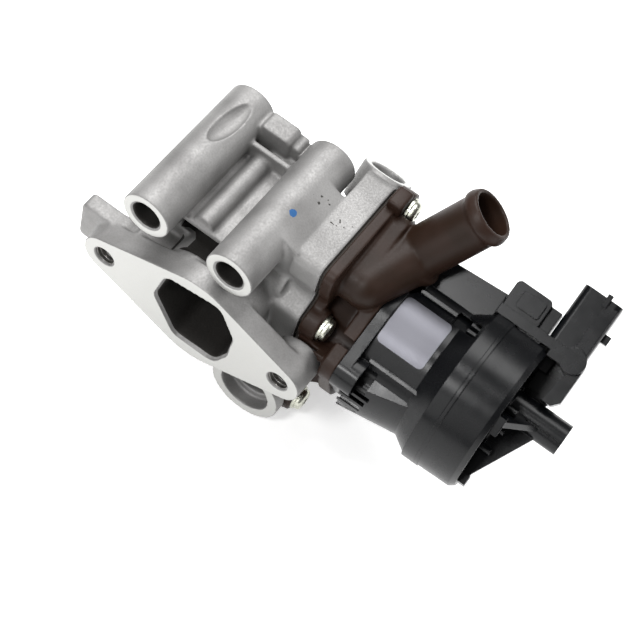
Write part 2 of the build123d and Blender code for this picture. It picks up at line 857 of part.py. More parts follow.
def actuator_casing():
    """Moulded casing of the motor with the spring chamber in front."""
    x0 = cover_top_x
    stator_front = stator_x - 0.6
    pilot_x = x0 - pilot_depth + 0.2
    shell = casing_outside() + rod_x(pilot_r - body_gap, pilot_x, x0 + 1)
    voids = rod_x(spring_chamber_r, pilot_x - 1, front_bearing_x - stop_wall)
    voids += rod_x(stem_hole_r, pilot_x - 1, front_bearing_x + 1)
    voids += rod_x(bearing_r, front_bearing_x, stator_front + 1)
    voids += rod_x(stator_r, stator_front, seam_x + 1)
    voids += rod_x(end_plate_r, seam_x - 3.0, seam_x + 1)
    voids += rod_x(cap_seal_r, seam_x - seal_depth, seam_x + 1)
    voids += ring_x(pilot_r + 1, pilot_r - seal_wall, pilot_x + 0.7, pilot_x + 0.7 + seal_width)
    for angle in ear_angles:
        u, v = ear_place(angle)
        voids += rod_x(limiter_r, x0 - 1, ear_seat_x + 1, u, v)
        voids += rod_x(pocket_r, ear_seat_x, pocket_end_x, u, v)
    shell -= voids
    slot_x = seam_x - ring_length - 1.0
    shell -= block(slot_x - 8.0, slot_x, slot_u, slot_u + 4.4, 0, beyond) - rod_x(barrel_r - 1.4, x0, seam_x)
    for u in (slot_u + 1.0, slot_u + 3.2):
        v = (barrel_r ** 2 - u ** 2) ** 0.5
        shell += rod_x(0.9, slot_x - 3.2, slot_x + 1.5, u, v + 0.3)
    shell = on_motor(shell) - duct_space()
    return shell.solids().sort_by(SortBy.VOLUME)[-1]


def screw_limiters():
    """Metal limiters in the three screw ears."""
    collars = []
    for angle in ear_angles:
        u, v = ear_place(angle)
        collar = rod_x(limiter_r, cover_top_x, ear_seat_x, u, v) - rod_x(screw_hole_r, 0, beyond, u, v)
        collars.append(on_motor(collar).solid())
    return Compound(children=collars)


def motor_screws():
    """The three screws that hold the motor to the cover."""
    screws = []
    for angle in ear_angles:
        screw = Pos(ear_seat_x, *ear_place(angle)) * round_head_screw(ear_seat_x - cover_top_x + motor_screw_grip)
        screws.append(on_motor(screw).solid())
    return Compound(children=screws)


def motor_seal():
    """Sealing ring in the groove of the pilot between the casing and the cover."""
    start = cover_top_x - pilot_depth + 0.9
    return on_axis(ring_x(pilot_r, pilot_r - seal_wall, start, start + seal_width))


# Moving line: spring, cup, spindle and rotor

def return_spring():
    """Compression spring that closes the valve, its round wire drawn with eight sides."""
    length = cup_x - spring_seat_x - 2 * wire_r
    path = Helix(pitch=length / spring_turns, height=length, radius=spring_r)
    wire = Plane(path @ 0, z_dir=path % 0) * RegularPolygon(wire_r, 8)
    coil = sweep(wire, path=path, is_frenet=True)
    return on_axis(Pos(spring_seat_x + wire_r, 0, 0) * Rot(0, 90, 0) * coil)


def spring_cup():
    """Pressed cup on the stem that takes the spring."""
    rim = spring_r + wire_r + 1.2
    return on_axis(turned([
        (cup_x - cup_hub_length, stem_r), (cup_x - cup_hub_length, cup_hub_r), (cup_x, cup_hub_r + 0.8), (cup_x, rim),
        (cup_x + cup_wall, rim), (cup_x + cup_wall, stem_r),
    ]))


def spindle():
    """Lead screw spindle: flats at the front stop it from turning."""
    bar = rod_x(spindle_r, stem_end_x, spindle_end_x)
    bar -= rod_x(sensor_magnet_r, spindle_end_x - sensor_magnet_length, spindle_end_x + 1)
    return on_axis(bar)


def sensor_magnet():
    """Magnet in the rear end of the spindle that the position sensor reads."""
    return on_axis(rod_x(sensor_magnet_r, spindle_end_x - sensor_magnet_length, spindle_end_x))


def rotor_shaft():
    """Hollow rotor shaft with the spindle nut inside."""
    front, rear = front_bearing_x, rear_bearing_x + bearing_width
    middle_0, middle_1 = front + bearing_width, rear_bearing_x
    bore = spindle_r + spindle_clearance
    return on_axis(turned([
        (front, bore), (front, bearing_bore_r), (middle_0, bearing_bore_r), (middle_0, bearing_bore_r + 1),
        (stator_x, magnet_r - magnet_wall), (middle_1 - 1.5, magnet_r - magnet_wall),
        (middle_1, bearing_bore_r + 1), (middle_1, bearing_bore_r), (rear, bearing_bore_r), (rear, bore),
    ]))


def rotor_magnets():
    """Four magnet shells around the rotor shaft."""
    shells = []
    ring = ring_x(magnet_r, magnet_r - magnet_wall, stator_x, stator_x + magnet_length)
    for i in range(4):
        quarter = block(stator_x, stator_x + magnet_length, 0.15, 20, 0.15, 20)
        shells.append(on_axis(about_axis(ring & quarter, 90 * i)).solid())
    return Compound(children=shells)


def bearing_outer(x):
    """Outer ring of a ball bearing."""
    return on_axis(raceway(ring_x(bearing_r, bearing_r - bearing_ring, x, x + bearing_width), x))


def bearing_inner(x):
    """Inner ring of a ball bearing."""
    return on_axis(raceway(ring_x(bearing_bore_r + bearing_ring, bearing_bore_r, x, x + bearing_width), x))


def pitch_r():
    """Radius of the circle that the balls run on."""
    return (bearing_r + bearing_bore_r) / 2


def raceway(ring, x):
    """Cuts the ball groove into a bearing ring."""
    groove = Pos(x + bearing_width / 2, 0, 0) * Rot(0, 90, 0) * Torus(pitch_r(), ball_r + ball_clearance)
    return ring - groove


def bearing_balls(x):
    """Balls of one bearing."""
    balls = []
    for i in range(ball_count):
        ball = Pos(x + bearing_width / 2, pitch_r(), 0) * Sphere(ball_r)
        balls.append(on_axis(about_axis(ball, 360 / ball_count * i)).solid())
    return Compound(children=balls)


# Stator and electrics

def pole_r():
    """Inner radius of the stator poles."""
    return magnet_r + air_gap


def stator_stack():
    """Laminated stator: yoke ring and poles with wide tips."""
    x0, x1 = stator_x, stator_x + stator_length
    stack = ring_x(stator_r, stator_r - yoke, x0, x1)
    for i in range(pole_count):
        pole = block(x0, x1, pole_r(), stator_r - yoke / 2, -pole_width / 4, pole_width / 4)
        tip = block(x0, x1, 0, pole_r() + 1.0, -pole_width, pole_width)
        pole += tip - rod_x(pole_r(), x0 - 1, x1 + 1)
        stack += about_axis(pole, 360 / pole_count * i)
    stack = stack & rod_x(stator_r, x0, x1)
    return on_motor(stack)


def stator_coils():
    """One copper coil on each pole."""
    coils = []
    x0, x1 = stator_x - 0.4, stator_x + stator_length + 0.4
    inner = pole_r() + 1.2
    outer = stator_r - yoke - 0.6
    half = pole_width / 4
    for i in range(pole_count):
        coil = block(x0, x1, inner, outer, -half - coil_thick, half + coil_thick)
        coil -= block(stator_x - 0.05, stator_x + stator_length + 0.05, inner - 1, outer + 1, -half - 0.05, half + 0.05)
        coils.append(on_motor(about_axis(coil, 360 / pole_count * i)).solid())
    return Compound(children=coils)


def motor_end_plate():
    """Plate behind the stator that holds the rear bearing and stands on a ledge of the casing."""
    rim = seam_x - 3.0
    front, back = seam_x + 0.4, seam_x + end_plate_ledge
    hub = bearing_r + 2
    rear = rear_bearing_x + bearing_width
    return on_axis(turned([
        (rim, end_plate_r - 2.2), (rim, end_plate_r), (back, end_plate_r), (back, hub), (rear, hub),
        (rear, bearing_r), (rear_bearing_x, bearing_r), (rear_bearing_x, bearing_r - 1.2),
        (front, bearing_r - 1.2), (front, end_plate_r - 2.2),
    ]))


def circuit_board():
    """Round board with the motor and sensor wiring."""
    board = rod_x(board_r, board_x, board_x + board_thick)
    board -= block(board_x - 1, board_x + 3, -beyond, -board_r + 3, -beyond, beyond)
    return on_motor(board)


def position_sensor():
    """Sensor chip on the board, in line with the spindle."""
    chip = block(board_x - chip_height, board_x, -2.2, 2.2, -2.6, 2.6)
    return on_motor(fillet(chip.edges().filter_by(Axis.X), 0.3))


# End cap

def end_ribs():
    """Webs from the end boss out to the three rim tabs."""
    x0 = cap_end_x - 1.0
    ribs = None
    for u_rim, v_rim in ((-20.5, -3.0), (-8.0, 20.0), (12.5, 17.0), (-2.0, -20.5)):
        length = ((u_rim - end_boss_u) ** 2 + v_rim ** 2) ** 0.5
        profile = make_face(Polyline(
            (x0, 0), (x0, length + 1.5), (x0 + 2.6, length + 1.5), (x0 + 3.2, length - 2.0),
            (end_boss_x - 5.0, 0), close=True))
        web = Pos(0, 0, -rib_thick / 2) * extrude(profile, amount=rib_thick)
        web += block(x0 - 1, x0 + 3.4, length - 1.0, length + 2.2, -3.0, 3.0)
        angle = Vector(u_rim - end_boss_u, v_rim, 0).get_signed_angle(Vector(1, 0, 0))
        web = Pos(0, end_boss_u, 0) * Rot(-angle, 0, 0) * web
        ribs = web if ribs is None else ribs + web
    for u, v in ((-3.0, 9.5), (3.4, 11.5), (-10.0, 6.0)):
        ribs += rod_x(1.1, x0 - 1.4, x0 + 4.2, u, v)
    return ribs


def cap_outside():
    """Outside of the cap: drafted skirt, stepped rim, boss and webs."""
    x1 = cap_end_x
    cap = turned([
        (seam_x, 0), (seam_x, ring_r), (seam_x + 1.2, ring_r), (seam_x + 1.2, ring_r - 0.35),
        (x1 - rim_height, cap_end_r), (x1, cap_end_r - 1.2), (x1, 0),
    ])
    cap -= ring_x(cap_end_r - face_rim, end_boss_r + boss_skirt, x1 - face_step, x1 + 1)
    cap += rod_x(end_boss_r, x1 - face_step - cap_roof, end_boss_x, end_boss_u, 0)
    return cap + end_ribs()


def end_cap():
    """Cap that closes the motor, with the boss and webs on its end."""
    x1 = cap_end_x
    cap = cap_outside()
    voids = rod_x(end_plate_r, seam_x - 1, seam_x + end_plate_ledge)
    voids += rod_x(board_r + board_space, seam_x - 1, x1 - face_step - cap_roof)
    voids += rod_x(end_bore_r, x1 + 2, end_boss_x + 1, end_boss_u, 0)
    voids += block(x1 + end_groove_start, end_boss_x + 1, end_boss_u - 1.6, end_boss_u - 1.6 + end_groove, end_boss_r - 1.2, beyond)
    cap -= voids
    cap -= arm_space()
    return on_motor(cap.solids().sort_by(SortBy.VOLUME)[-1])


def cap_seal():
    """Square ring that seals the cap to the casing."""
    ring = ring_x(cap_seal_r, cap_seal_r - cap_seal_width, seam_x - seal_depth, seam_x)
    return on_axis(ring)


# Connector arm with its shell

def arm_space():
    """Space of the arm's foot in the cap."""
    return block(arm_start_x - 1, beyond, arm_low_u, beyond, -arm_half - body_gap, arm_half + body_gap)


def terminal_box():
    """Box over the seam with a framed lid and a lower step."""
    low, top_v = arm_low_u + body_gap, arm_half - 2
    box = block(arm_start_x, box_end_x, low, box_high_u, -top_v, top_v)
    box = fillet(box.edges().filter_by(Axis.Z).group_by(Axis.Y)[-1], box_corner_r)
    box += block(box_end_x - 2, box_end_x + box_step, low, box_high_u - 1.2, -top_v + 2, top_v - 2.5)
    frame = block(arm_start_x + 3.4, box_end_x - 1.2, arm_high_u + 1.5, box_high_u - 1.6, top_v - 0.6, top_v + 0.6)
    return box + fillet(frame.edges().filter_by(Axis.Z), 0.8)


def connector_shell():
    """Plug shell with a raised rib along its face and a latch."""
    low, high = -arm_half - 1, arm_half - 1.5
    shell = block(shell_start_x, shell_end_x, arm_high_u - 1, shell_end_u, low, high)
    shell = fillet(shell.edges().filter_by(Axis.Y), shell_corner_r)
    rib_x = shell_start_x + shell_width * 0.62
    shell += block(rib_x, shell_end_x - shell_corner_r * 0.3, arm_high_u, shell_end_u - 1.8, high - 1.5, high + 0.8)
    shell += block(rib_x - 0.8, rib_x + 0.8, shell_end_u - 3.0, shell_end_u + 1.2, high - 1.5, high + 1.4)
    return shell + block(shell_end_x - 0.5, shell_end_x + 2.0, arm_high_u + 7.2, arm_high_u + 10.0, -2.5, 2.5)


def drop_wall_part():
    """Wall from the knuckle down beside the end cap, with a floor that closes it to the cap."""
    right_x = arm_end_x + knuckle_r
    drop = Plane.XY * make_face(Polyline(
        (right_x - drop_wall, arm_high_u - 2), (right_x, arm_high_u - 2), (right_x, drop_low_u + 2.4),
        (right_x - 2.0, drop_low_u), (right_x - drop_wall - 2.0, drop_low_u), close=True))
    drop = Pos(0, 0, -arm_half) * extrude(drop, amount=2 * arm_half - 3)
    return drop + block(cap_end_x + body_gap, right_x - 1, drop_low_u + 1, arm_low_u + 1, -arm_half, -arm_half + 2.4)


def connector_arm():
    """Arm over the seam with the terminal box, the knuckle and the connector shell."""
    arm = block(arm_start_x, arm_end_x, arm_low_u + body_gap, arm_high_u, -arm_half, arm_half)
    arm += terminal_box()
    arm += Pos(arm_end_x, arm_high_u - 2.2, 0) * Cylinder(knuckle_r, 2 * arm_half)
    arm += connector_shell() + drop_wall_part()
    socket = block(shell_start_x + shell_wall, shell_end_x - shell_wall, shell_end_u - socket_depth,
                   shell_end_u + 1, -arm_half - 1 + shell_wall, arm_half - 1.5 - shell_wall)
    arm -= fillet(socket.edges().filter_by(Axis.Y), shell_corner_r - shell_wall + 0.3)
    arm -= rod_x(ring_r + body_gap, 0, cap_end_x)
    return on_motor(arm.solids().sort_by(SortBy.VOLUME)[-1])


def terminal_pins():
    """Row of blade pins in the connector."""
    middle_x = (shell_start_x + shell_end_x) / 2
    floor_u = shell_end_u - socket_depth
    pins = []
    for i in range(pin_count):
        v = (i - (pin_count - 1) / 2) * pin_pitch - 1.25
        pin = block(middle_x - pin_size / 2, middle_x + pin_size / 2, floor_u, floor_u + socket_depth - pin_gap,
                    v - pin_size / 2, v + pin_size / 2)
        pins.append(on_motor(pin).solid())
    return Compound(children=pins)


def rating_label():
    """Bare label wrapped on the barrel."""
    patch = block(label_x - label_length / 2, label_x + label_length / 2,
                  label_u - label_width / 2, label_u + label_width / 2, 0, 30)
    patch = fillet(patch.edges().filter_by(Axis.Z), 1.6)
    return on_motor(patch & ring_x(barrel_r + label_thick, barrel_r, cover_top_x, seam_x))


# All nodes

parts = {
    "valve_housing": valve_housing,
    "seat_ring": lambda: on_axis(seat_ring()),
    "poppet_valve": lambda: on_axis(poppet_valve()),
    "stem_bush": lambda: on_axis(stem_bush()),
    "stem_seal": lambda: on_axis(stem_seal()),
    "end_plug": lambda: on_axis(end_plug()),
    "cover_gasket": cover_gasket,
    "coolant_cover": coolant_cover,
    "cover_screws": cover_screws,
    "actuator_casing": actuator_casing,
    "screw_limiters": screw_limiters,
    "motor_screws": motor_screws,
    "motor_seal": motor_seal,
    "return_spring": return_spring,
    "spring_cup": spring_cup,
    "spindle": spindle,
    "sensor_magnet": sensor_magnet,
    "rotor_shaft": rotor_shaft,
    "rotor_magnets": rotor_magnets,
    "front_bearing_outer": lambda: bearing_outer(front_bearing_x),
    "front_bearing_inner": lambda: bearing_inner(front_bearing_x),
    "front_bearing_balls": lambda: bearing_balls(front_bearing_x),
    "rear_bearing_outer": lambda: bearing_outer(rear_bearing_x),
    "rear_bearing_inner": lambda: bearing_inner(rear_bearing_x),
    "rear_bearing_balls": lambda: bearing_balls(rear_bearing_x),
    "stator_stack": stator_stack,
    "stator_coils": stator_coils,
    "motor_end_plate": motor_end_plate,
    "circuit_board": circuit_board,
    "position_sensor": position_sensor,
    "cap_seal": cap_seal,
    "end_cap": end_cap,
    "connector_arm": connector_arm,
    "terminal_pins": terminal_pins,
    "rating_label": rating_label,
}

os.makedirs("parts", exist_ok=True)
for name, make in parts.items():
    write(make(), name)
    print(name)
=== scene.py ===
import logging
import math
from dataclasses import dataclass
from enum import Enum
from typing import Any, Callable

import bpy
import numpy as np
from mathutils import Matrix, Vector


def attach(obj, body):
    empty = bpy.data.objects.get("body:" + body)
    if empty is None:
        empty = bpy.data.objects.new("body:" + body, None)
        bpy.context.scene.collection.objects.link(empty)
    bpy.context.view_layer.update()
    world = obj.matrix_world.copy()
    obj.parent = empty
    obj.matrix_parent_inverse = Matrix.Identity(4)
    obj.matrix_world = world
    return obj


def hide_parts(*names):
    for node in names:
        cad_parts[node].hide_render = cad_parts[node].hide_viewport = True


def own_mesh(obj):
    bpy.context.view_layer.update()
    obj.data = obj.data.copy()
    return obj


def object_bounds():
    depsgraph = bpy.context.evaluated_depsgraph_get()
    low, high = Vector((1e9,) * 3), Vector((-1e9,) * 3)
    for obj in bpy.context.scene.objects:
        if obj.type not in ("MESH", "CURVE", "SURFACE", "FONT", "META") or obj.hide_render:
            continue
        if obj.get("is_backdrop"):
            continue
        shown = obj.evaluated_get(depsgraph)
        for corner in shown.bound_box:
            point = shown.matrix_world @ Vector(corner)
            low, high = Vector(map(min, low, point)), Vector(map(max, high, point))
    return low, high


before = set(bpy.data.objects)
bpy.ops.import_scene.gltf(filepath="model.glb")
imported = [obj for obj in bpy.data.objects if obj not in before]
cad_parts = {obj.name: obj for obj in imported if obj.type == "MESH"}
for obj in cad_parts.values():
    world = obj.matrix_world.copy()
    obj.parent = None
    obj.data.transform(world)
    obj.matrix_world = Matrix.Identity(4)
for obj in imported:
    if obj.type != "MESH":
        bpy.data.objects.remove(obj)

# Dressed model of an electric exhaust gas valve. Blender's objects are in metres, in the frame of
# the solids: X along the valve axis to the motor, Y away from the inlet flange face, Z upwards.
# Sizes and places in the classes are in millimetres, as on a drawing, unless they say metres.

MM = 0.001
HOUSING = "housing"  # The body that every added piece rides on
LOG = logging.getLogger("gas_valve")

CRISP_ANGLE = math.radians(35)  # Edges turned by more than this stay sharp in the shading
WAVE_RATE = 20.0  # Radians by which a wave texture of scale 1 turns in one unit
RELIEF_STRENGTH = 0.6
PATTERN_DETAIL = 2.0
FLAT_REACH = 0.08  # How far in millimetres a surface may lie from a cut flat and still be bright
FLAT_COSINE = 0.9  # Least cosine between such a surface's normal and the flat's
ROUND_SIDES = 96

Point = tuple[float, float, float]


class Axis(Enum):
    """Direction that a pattern or a coil follows."""

    X = "X"
    Y = "Y"
    Z = "Z"


def metres(place: Point) -> Point:
    """A place or size in metres, from one in millimetres."""
    return tuple(v * MM for v in place)


@dataclass(frozen=True)
class Box:
    """An upright box, given by its lowest and highest corner."""

    low: Point
    high: Point

    def middle(self) -> Point:
        """Middle of the box in metres."""
        return tuple((a + b) / 2 * MM for a, b in zip(self.low, self.high))

    def size(self) -> Point:
        """Full size of the box in metres."""
        return tuple((b - a) * MM for a, b in zip(self.low, self.high))

    def holds(self, points: np.ndarray) -> np.ndarray:
        """True for the points that lie in the box."""
        return (points >= np.array(self.low)).all(1) & (points <= np.array(self.high)).all(1)


ANYWHERE = Box((-200.0, -200.0, -200.0), (200.0, 200.0, 200.0))


def linear(hex_color: str) -> tuple[float, float, float, float]:
    """Turns an sRGB hex colour to linear values.

    Args:
        hex_color: Six hex digits after a hash.

    Returns:
        Red, green, blue and alpha for a shader socket.
    """
    values = [int(hex_color[i:i + 2], 16) / 255 for i in (1, 3, 5)]
    return (*[v / 12.92 if v <= 0.04045 else ((v + 0.055) / 1.055) ** 2.4 for v in values], 1.0)


def per_mm(size: float) -> float:
    """Scale of a noise whose features are this many millimetres across."""
    return 1.0 / (size * MM)


def add_node(
    tree: bpy.types.NodeTree, kind: str, inputs: dict[str | int, Any] | None = None, **settings: Any
) -> bpy.types.Node:
    """Adds one node with its settings and links.

    Args:
        tree: Node tree of the material.
        kind: Blender's name of the node type, without the ShaderNode that it starts with.
        inputs: Socket name or number to a value, or to an output socket to link.
        settings: Properties of the node itself.

    Returns:
        The new node.
    """
    node = tree.nodes.new(f"ShaderNode{kind}")
    for name, value in settings.items():
        setattr(node, name, value)
    for socket, value in (inputs or {}).items():
        if isinstance(value, bpy.types.NodeSocket):
            tree.links.new(value, node.inputs[socket])
        else:
            node.inputs[socket].default_value = value
    return node


def overlaid(tree: bpy.types.NodeTree, color: Any, layers: tuple[tuple[Any, Any], ...]) -> Any:
    """Lays colours over a base, the last one on top.

    Args:
        tree: Node tree of the material.
        color: Colour of the base.
        layers: Mask and colour of each layer, lowest first.

    Returns:
        The colour socket.
    """
    share, under, over, result = 0, 6, 7, 2
    for mask, cover in layers:
        inputs = {share: mask, under: color, over: cover}
        color = add_node(tree, "Mix", inputs, data_type="RGBA").outputs[result]
    return color


@dataclass(frozen=True)
class Finish:
    """A real material and the way its surface was made.

    Fields give the sRGB colour, a second colour for slow variation, and typical values of the
    material. A surface whose grain has no depth is smooth.
    """

    name: str
    color: str
    shade: str
    metallic: float = 0.0
    roughness: float = 0.5
    grain_size: float = 0.5
    grain_depth: float = 0.0
    cloud_size: float = 9.0
    spread: float = 0.08
    edge: float = 0.25
    specular: float = 0.5
    glow: float = 0.0

    def tone(self, tree: bpy.types.NodeTree, place: Any) -> Any:
        """Colour with its slow clouds.

        Args:
            tree: Node tree of the material.
            place: Socket with the place on the surface, in metres.

        Returns:
            The colour socket.
        """
        cloud = add_node(tree, "TexNoise", {
            "Vector": place, "Scale": per_mm(self.cloud_size), "Detail": PATTERN_DETAIL})
        share = add_node(tree, "MapRange", {
            "Value": cloud.outputs["Fac"], "From Min": 0.35, "From Max": 0.65})
        return overlaid(tree, linear(self.color), ((share.outputs["Result"], linear(self.shade)),))

    def height(self, tree: bpy.types.NodeTree, place: Any, grain: Any) -> Any:
        """Height of the relief, from 0 to 1. The plain one is the grain itself.

        Args:
            tree: Node tree of the material.
            place: Socket with the place on the surface, in metres.
            grain: Socket with the fine grain, from 0 to 1.

        Returns:
            The height socket.
        """
        return grain

    def sockets(self, tree: bpy.types.NodeTree, place: Any) -> dict[str, Any]:
        """What the surface gives to its shader.

        Args:
            tree: Node tree of the material.
            place: Socket with the place on the surface, in metres.

        Returns:
            Names of the shader's inputs with their values or sockets.
        """
        grain = add_node(tree, "TexNoise", {
            "Vector": place, "Scale": per_mm(self.grain_size), "Detail": PATTERN_DETAIL}).outputs["Fac"]
        rough = add_node(tree, "MapRange", {
            "Value": grain, "From Min": 0.3, "From Max": 0.7,
            "To Min": self.roughness - self.spread, "To Max": self.roughness + self.spread})
        # Normal that is rounded over the edges, as tooling leaves them
        normal = add_node(tree, "Bevel", {"Radius": self.edge * MM}, samples=4)
        if self.grain_depth:
            normal = add_node(tree, "Bump", {
                "Height": self.height(tree, place, grain), "Strength": RELIEF_STRENGTH,
                "Distance": self.grain_depth * MM, "Normal": normal.outputs["Normal"]})
        return {
            "Base Color": self.tone(tree, place), "Roughness": rough.outputs["Result"],
            "Normal": normal.outputs["Normal"], "Metallic": self.metallic,
            "Specular IOR Level": self.specular, "Emission Strength": self.glow,
            "Emission Color": linear("#ffffff"),
        }

    def build(self) -> bpy.types.Material:
        """Makes the material."""
        material = bpy.data.materials.new(self.name)
        material.use_nodes = True
        tree = material.node_tree
        tree.nodes.clear()
        place = add_node(tree, "TexCoord").outputs["Object"]
        shader = add_node(tree, "BsdfPrincipled", self.sockets(tree, place))
        add_node(tree, "OutputMaterial", {"Surface": shader.outputs["BSDF"]})
        return material


@dataclass(frozen=True)
class ShadedSpace:
    """A box whose walls are painted dark as shade: an unfinished bore, way or hollow."""

    box: Box

    def mask(self, tree: bpy.types.NodeTree, place: Any) -> Any:
        """Finds the walls in the box.

        Args:
            tree: Node tree of the material.
            place: Socket with the place on the surface, in metres.

        Returns:
            The socket that is 1 in the box and 0 outside.
        """
        half = tuple(side / 2 for side in self.box.size())
        vector = place
        for operation, other in (("SUBTRACT", self.box.middle()), ("DIVIDE", half), ("ABSOLUTE", None)):
            inputs = {0: vector} if other is None else {0: vector, 1: other}
            vector = add_node(tree, "VectorMath", inputs, operation=operation).outputs["Vector"]
        x, y, z = add_node(tree, "SeparateXYZ", {"Vector": vector}).outputs
        longest = add_node(tree, "Math", {0: x, 1: y}, operation="MAXIMUM").outputs["Value"]
        longest = add_node(tree, "Math", {0: longest, 1: z}, operation="MAXIMUM").outputs["Value"]
        return add_node(tree, "Math", {0: longest, 1: 1.0}, operation="LESS_THAN").outputs["Value"]


@dataclass(frozen=True)
class CutFlat:
    """A flat that a cutter has faced: its outward normal, its distance along that, and where it lies."""

    normal: Point
    offset: float
    within: Box = ANYWHERE

    def near(self, points: np.ndarray, reach: float) -> np.ndarray:
        """Finds the points on the flat or just beside it.

        Args:
            points: Places, one row each.
            reach: How far from the flat still counts.

        Returns:
            True for each such point.
        """
        return (np.abs(points @ np.array(self.normal) - self.offset) < reach) & self.within.holds(points)

    def mask(self, tree: bpy.types.NodeTree, place: Any) -> Any:
        """Finds the surface that lies on the flat and faces its way.

        Args:
            tree: Node tree of the material.
            place: Socket with the place on the surface, in metres.

        Returns:
            The socket that is 1 on the flat and 0 elsewhere.
        """
        facing = add_node(tree, "TexCoord").outputs["Normal"]
        along, turned = (
            add_node(tree, "VectorMath", {0: value, 1: self.normal}, operation="DOT_PRODUCT").outputs["Value"]
            for value in (place, facing))
        reach = FLAT_REACH * MM
        level = add_node(tree, "Math", {0: along, 1: self.offset * MM, 2: reach}, operation="COMPARE")
        square = add_node(tree, "Math", {0: turned, 1: FLAT_COSINE}, operation="GREATER_THAN")
        both = {0: level.outputs["Value"], 1: square.outputs["Value"]}
        return add_node(tree, "Math", both, operation="MULTIPLY").outputs["Value"]


@dataclass(frozen=True)
class CutBore:
    """A bore that a drill or reamer has cut: where it starts, its direction, radius and length."""

    start: Point
    along: Point
    radius: float
    length: float

    def near(self, points: np.ndarray, reach: float) -> np.ndarray:
        """Finds the points in the bore or just outside its wall.

        Args:
            points: Places, one row each.
            reach: How far outside the wall still counts.

        Returns:
            True for each such point.
        """
        away = points - np.array(self.start)
        depth = away @ np.array(self.along)
        side = np.linalg.norm(away - depth[:, None] * np.array(self.along), axis=1)
        return (side < self.radius + reach) & (depth > -reach) & (depth < self.length + reach)


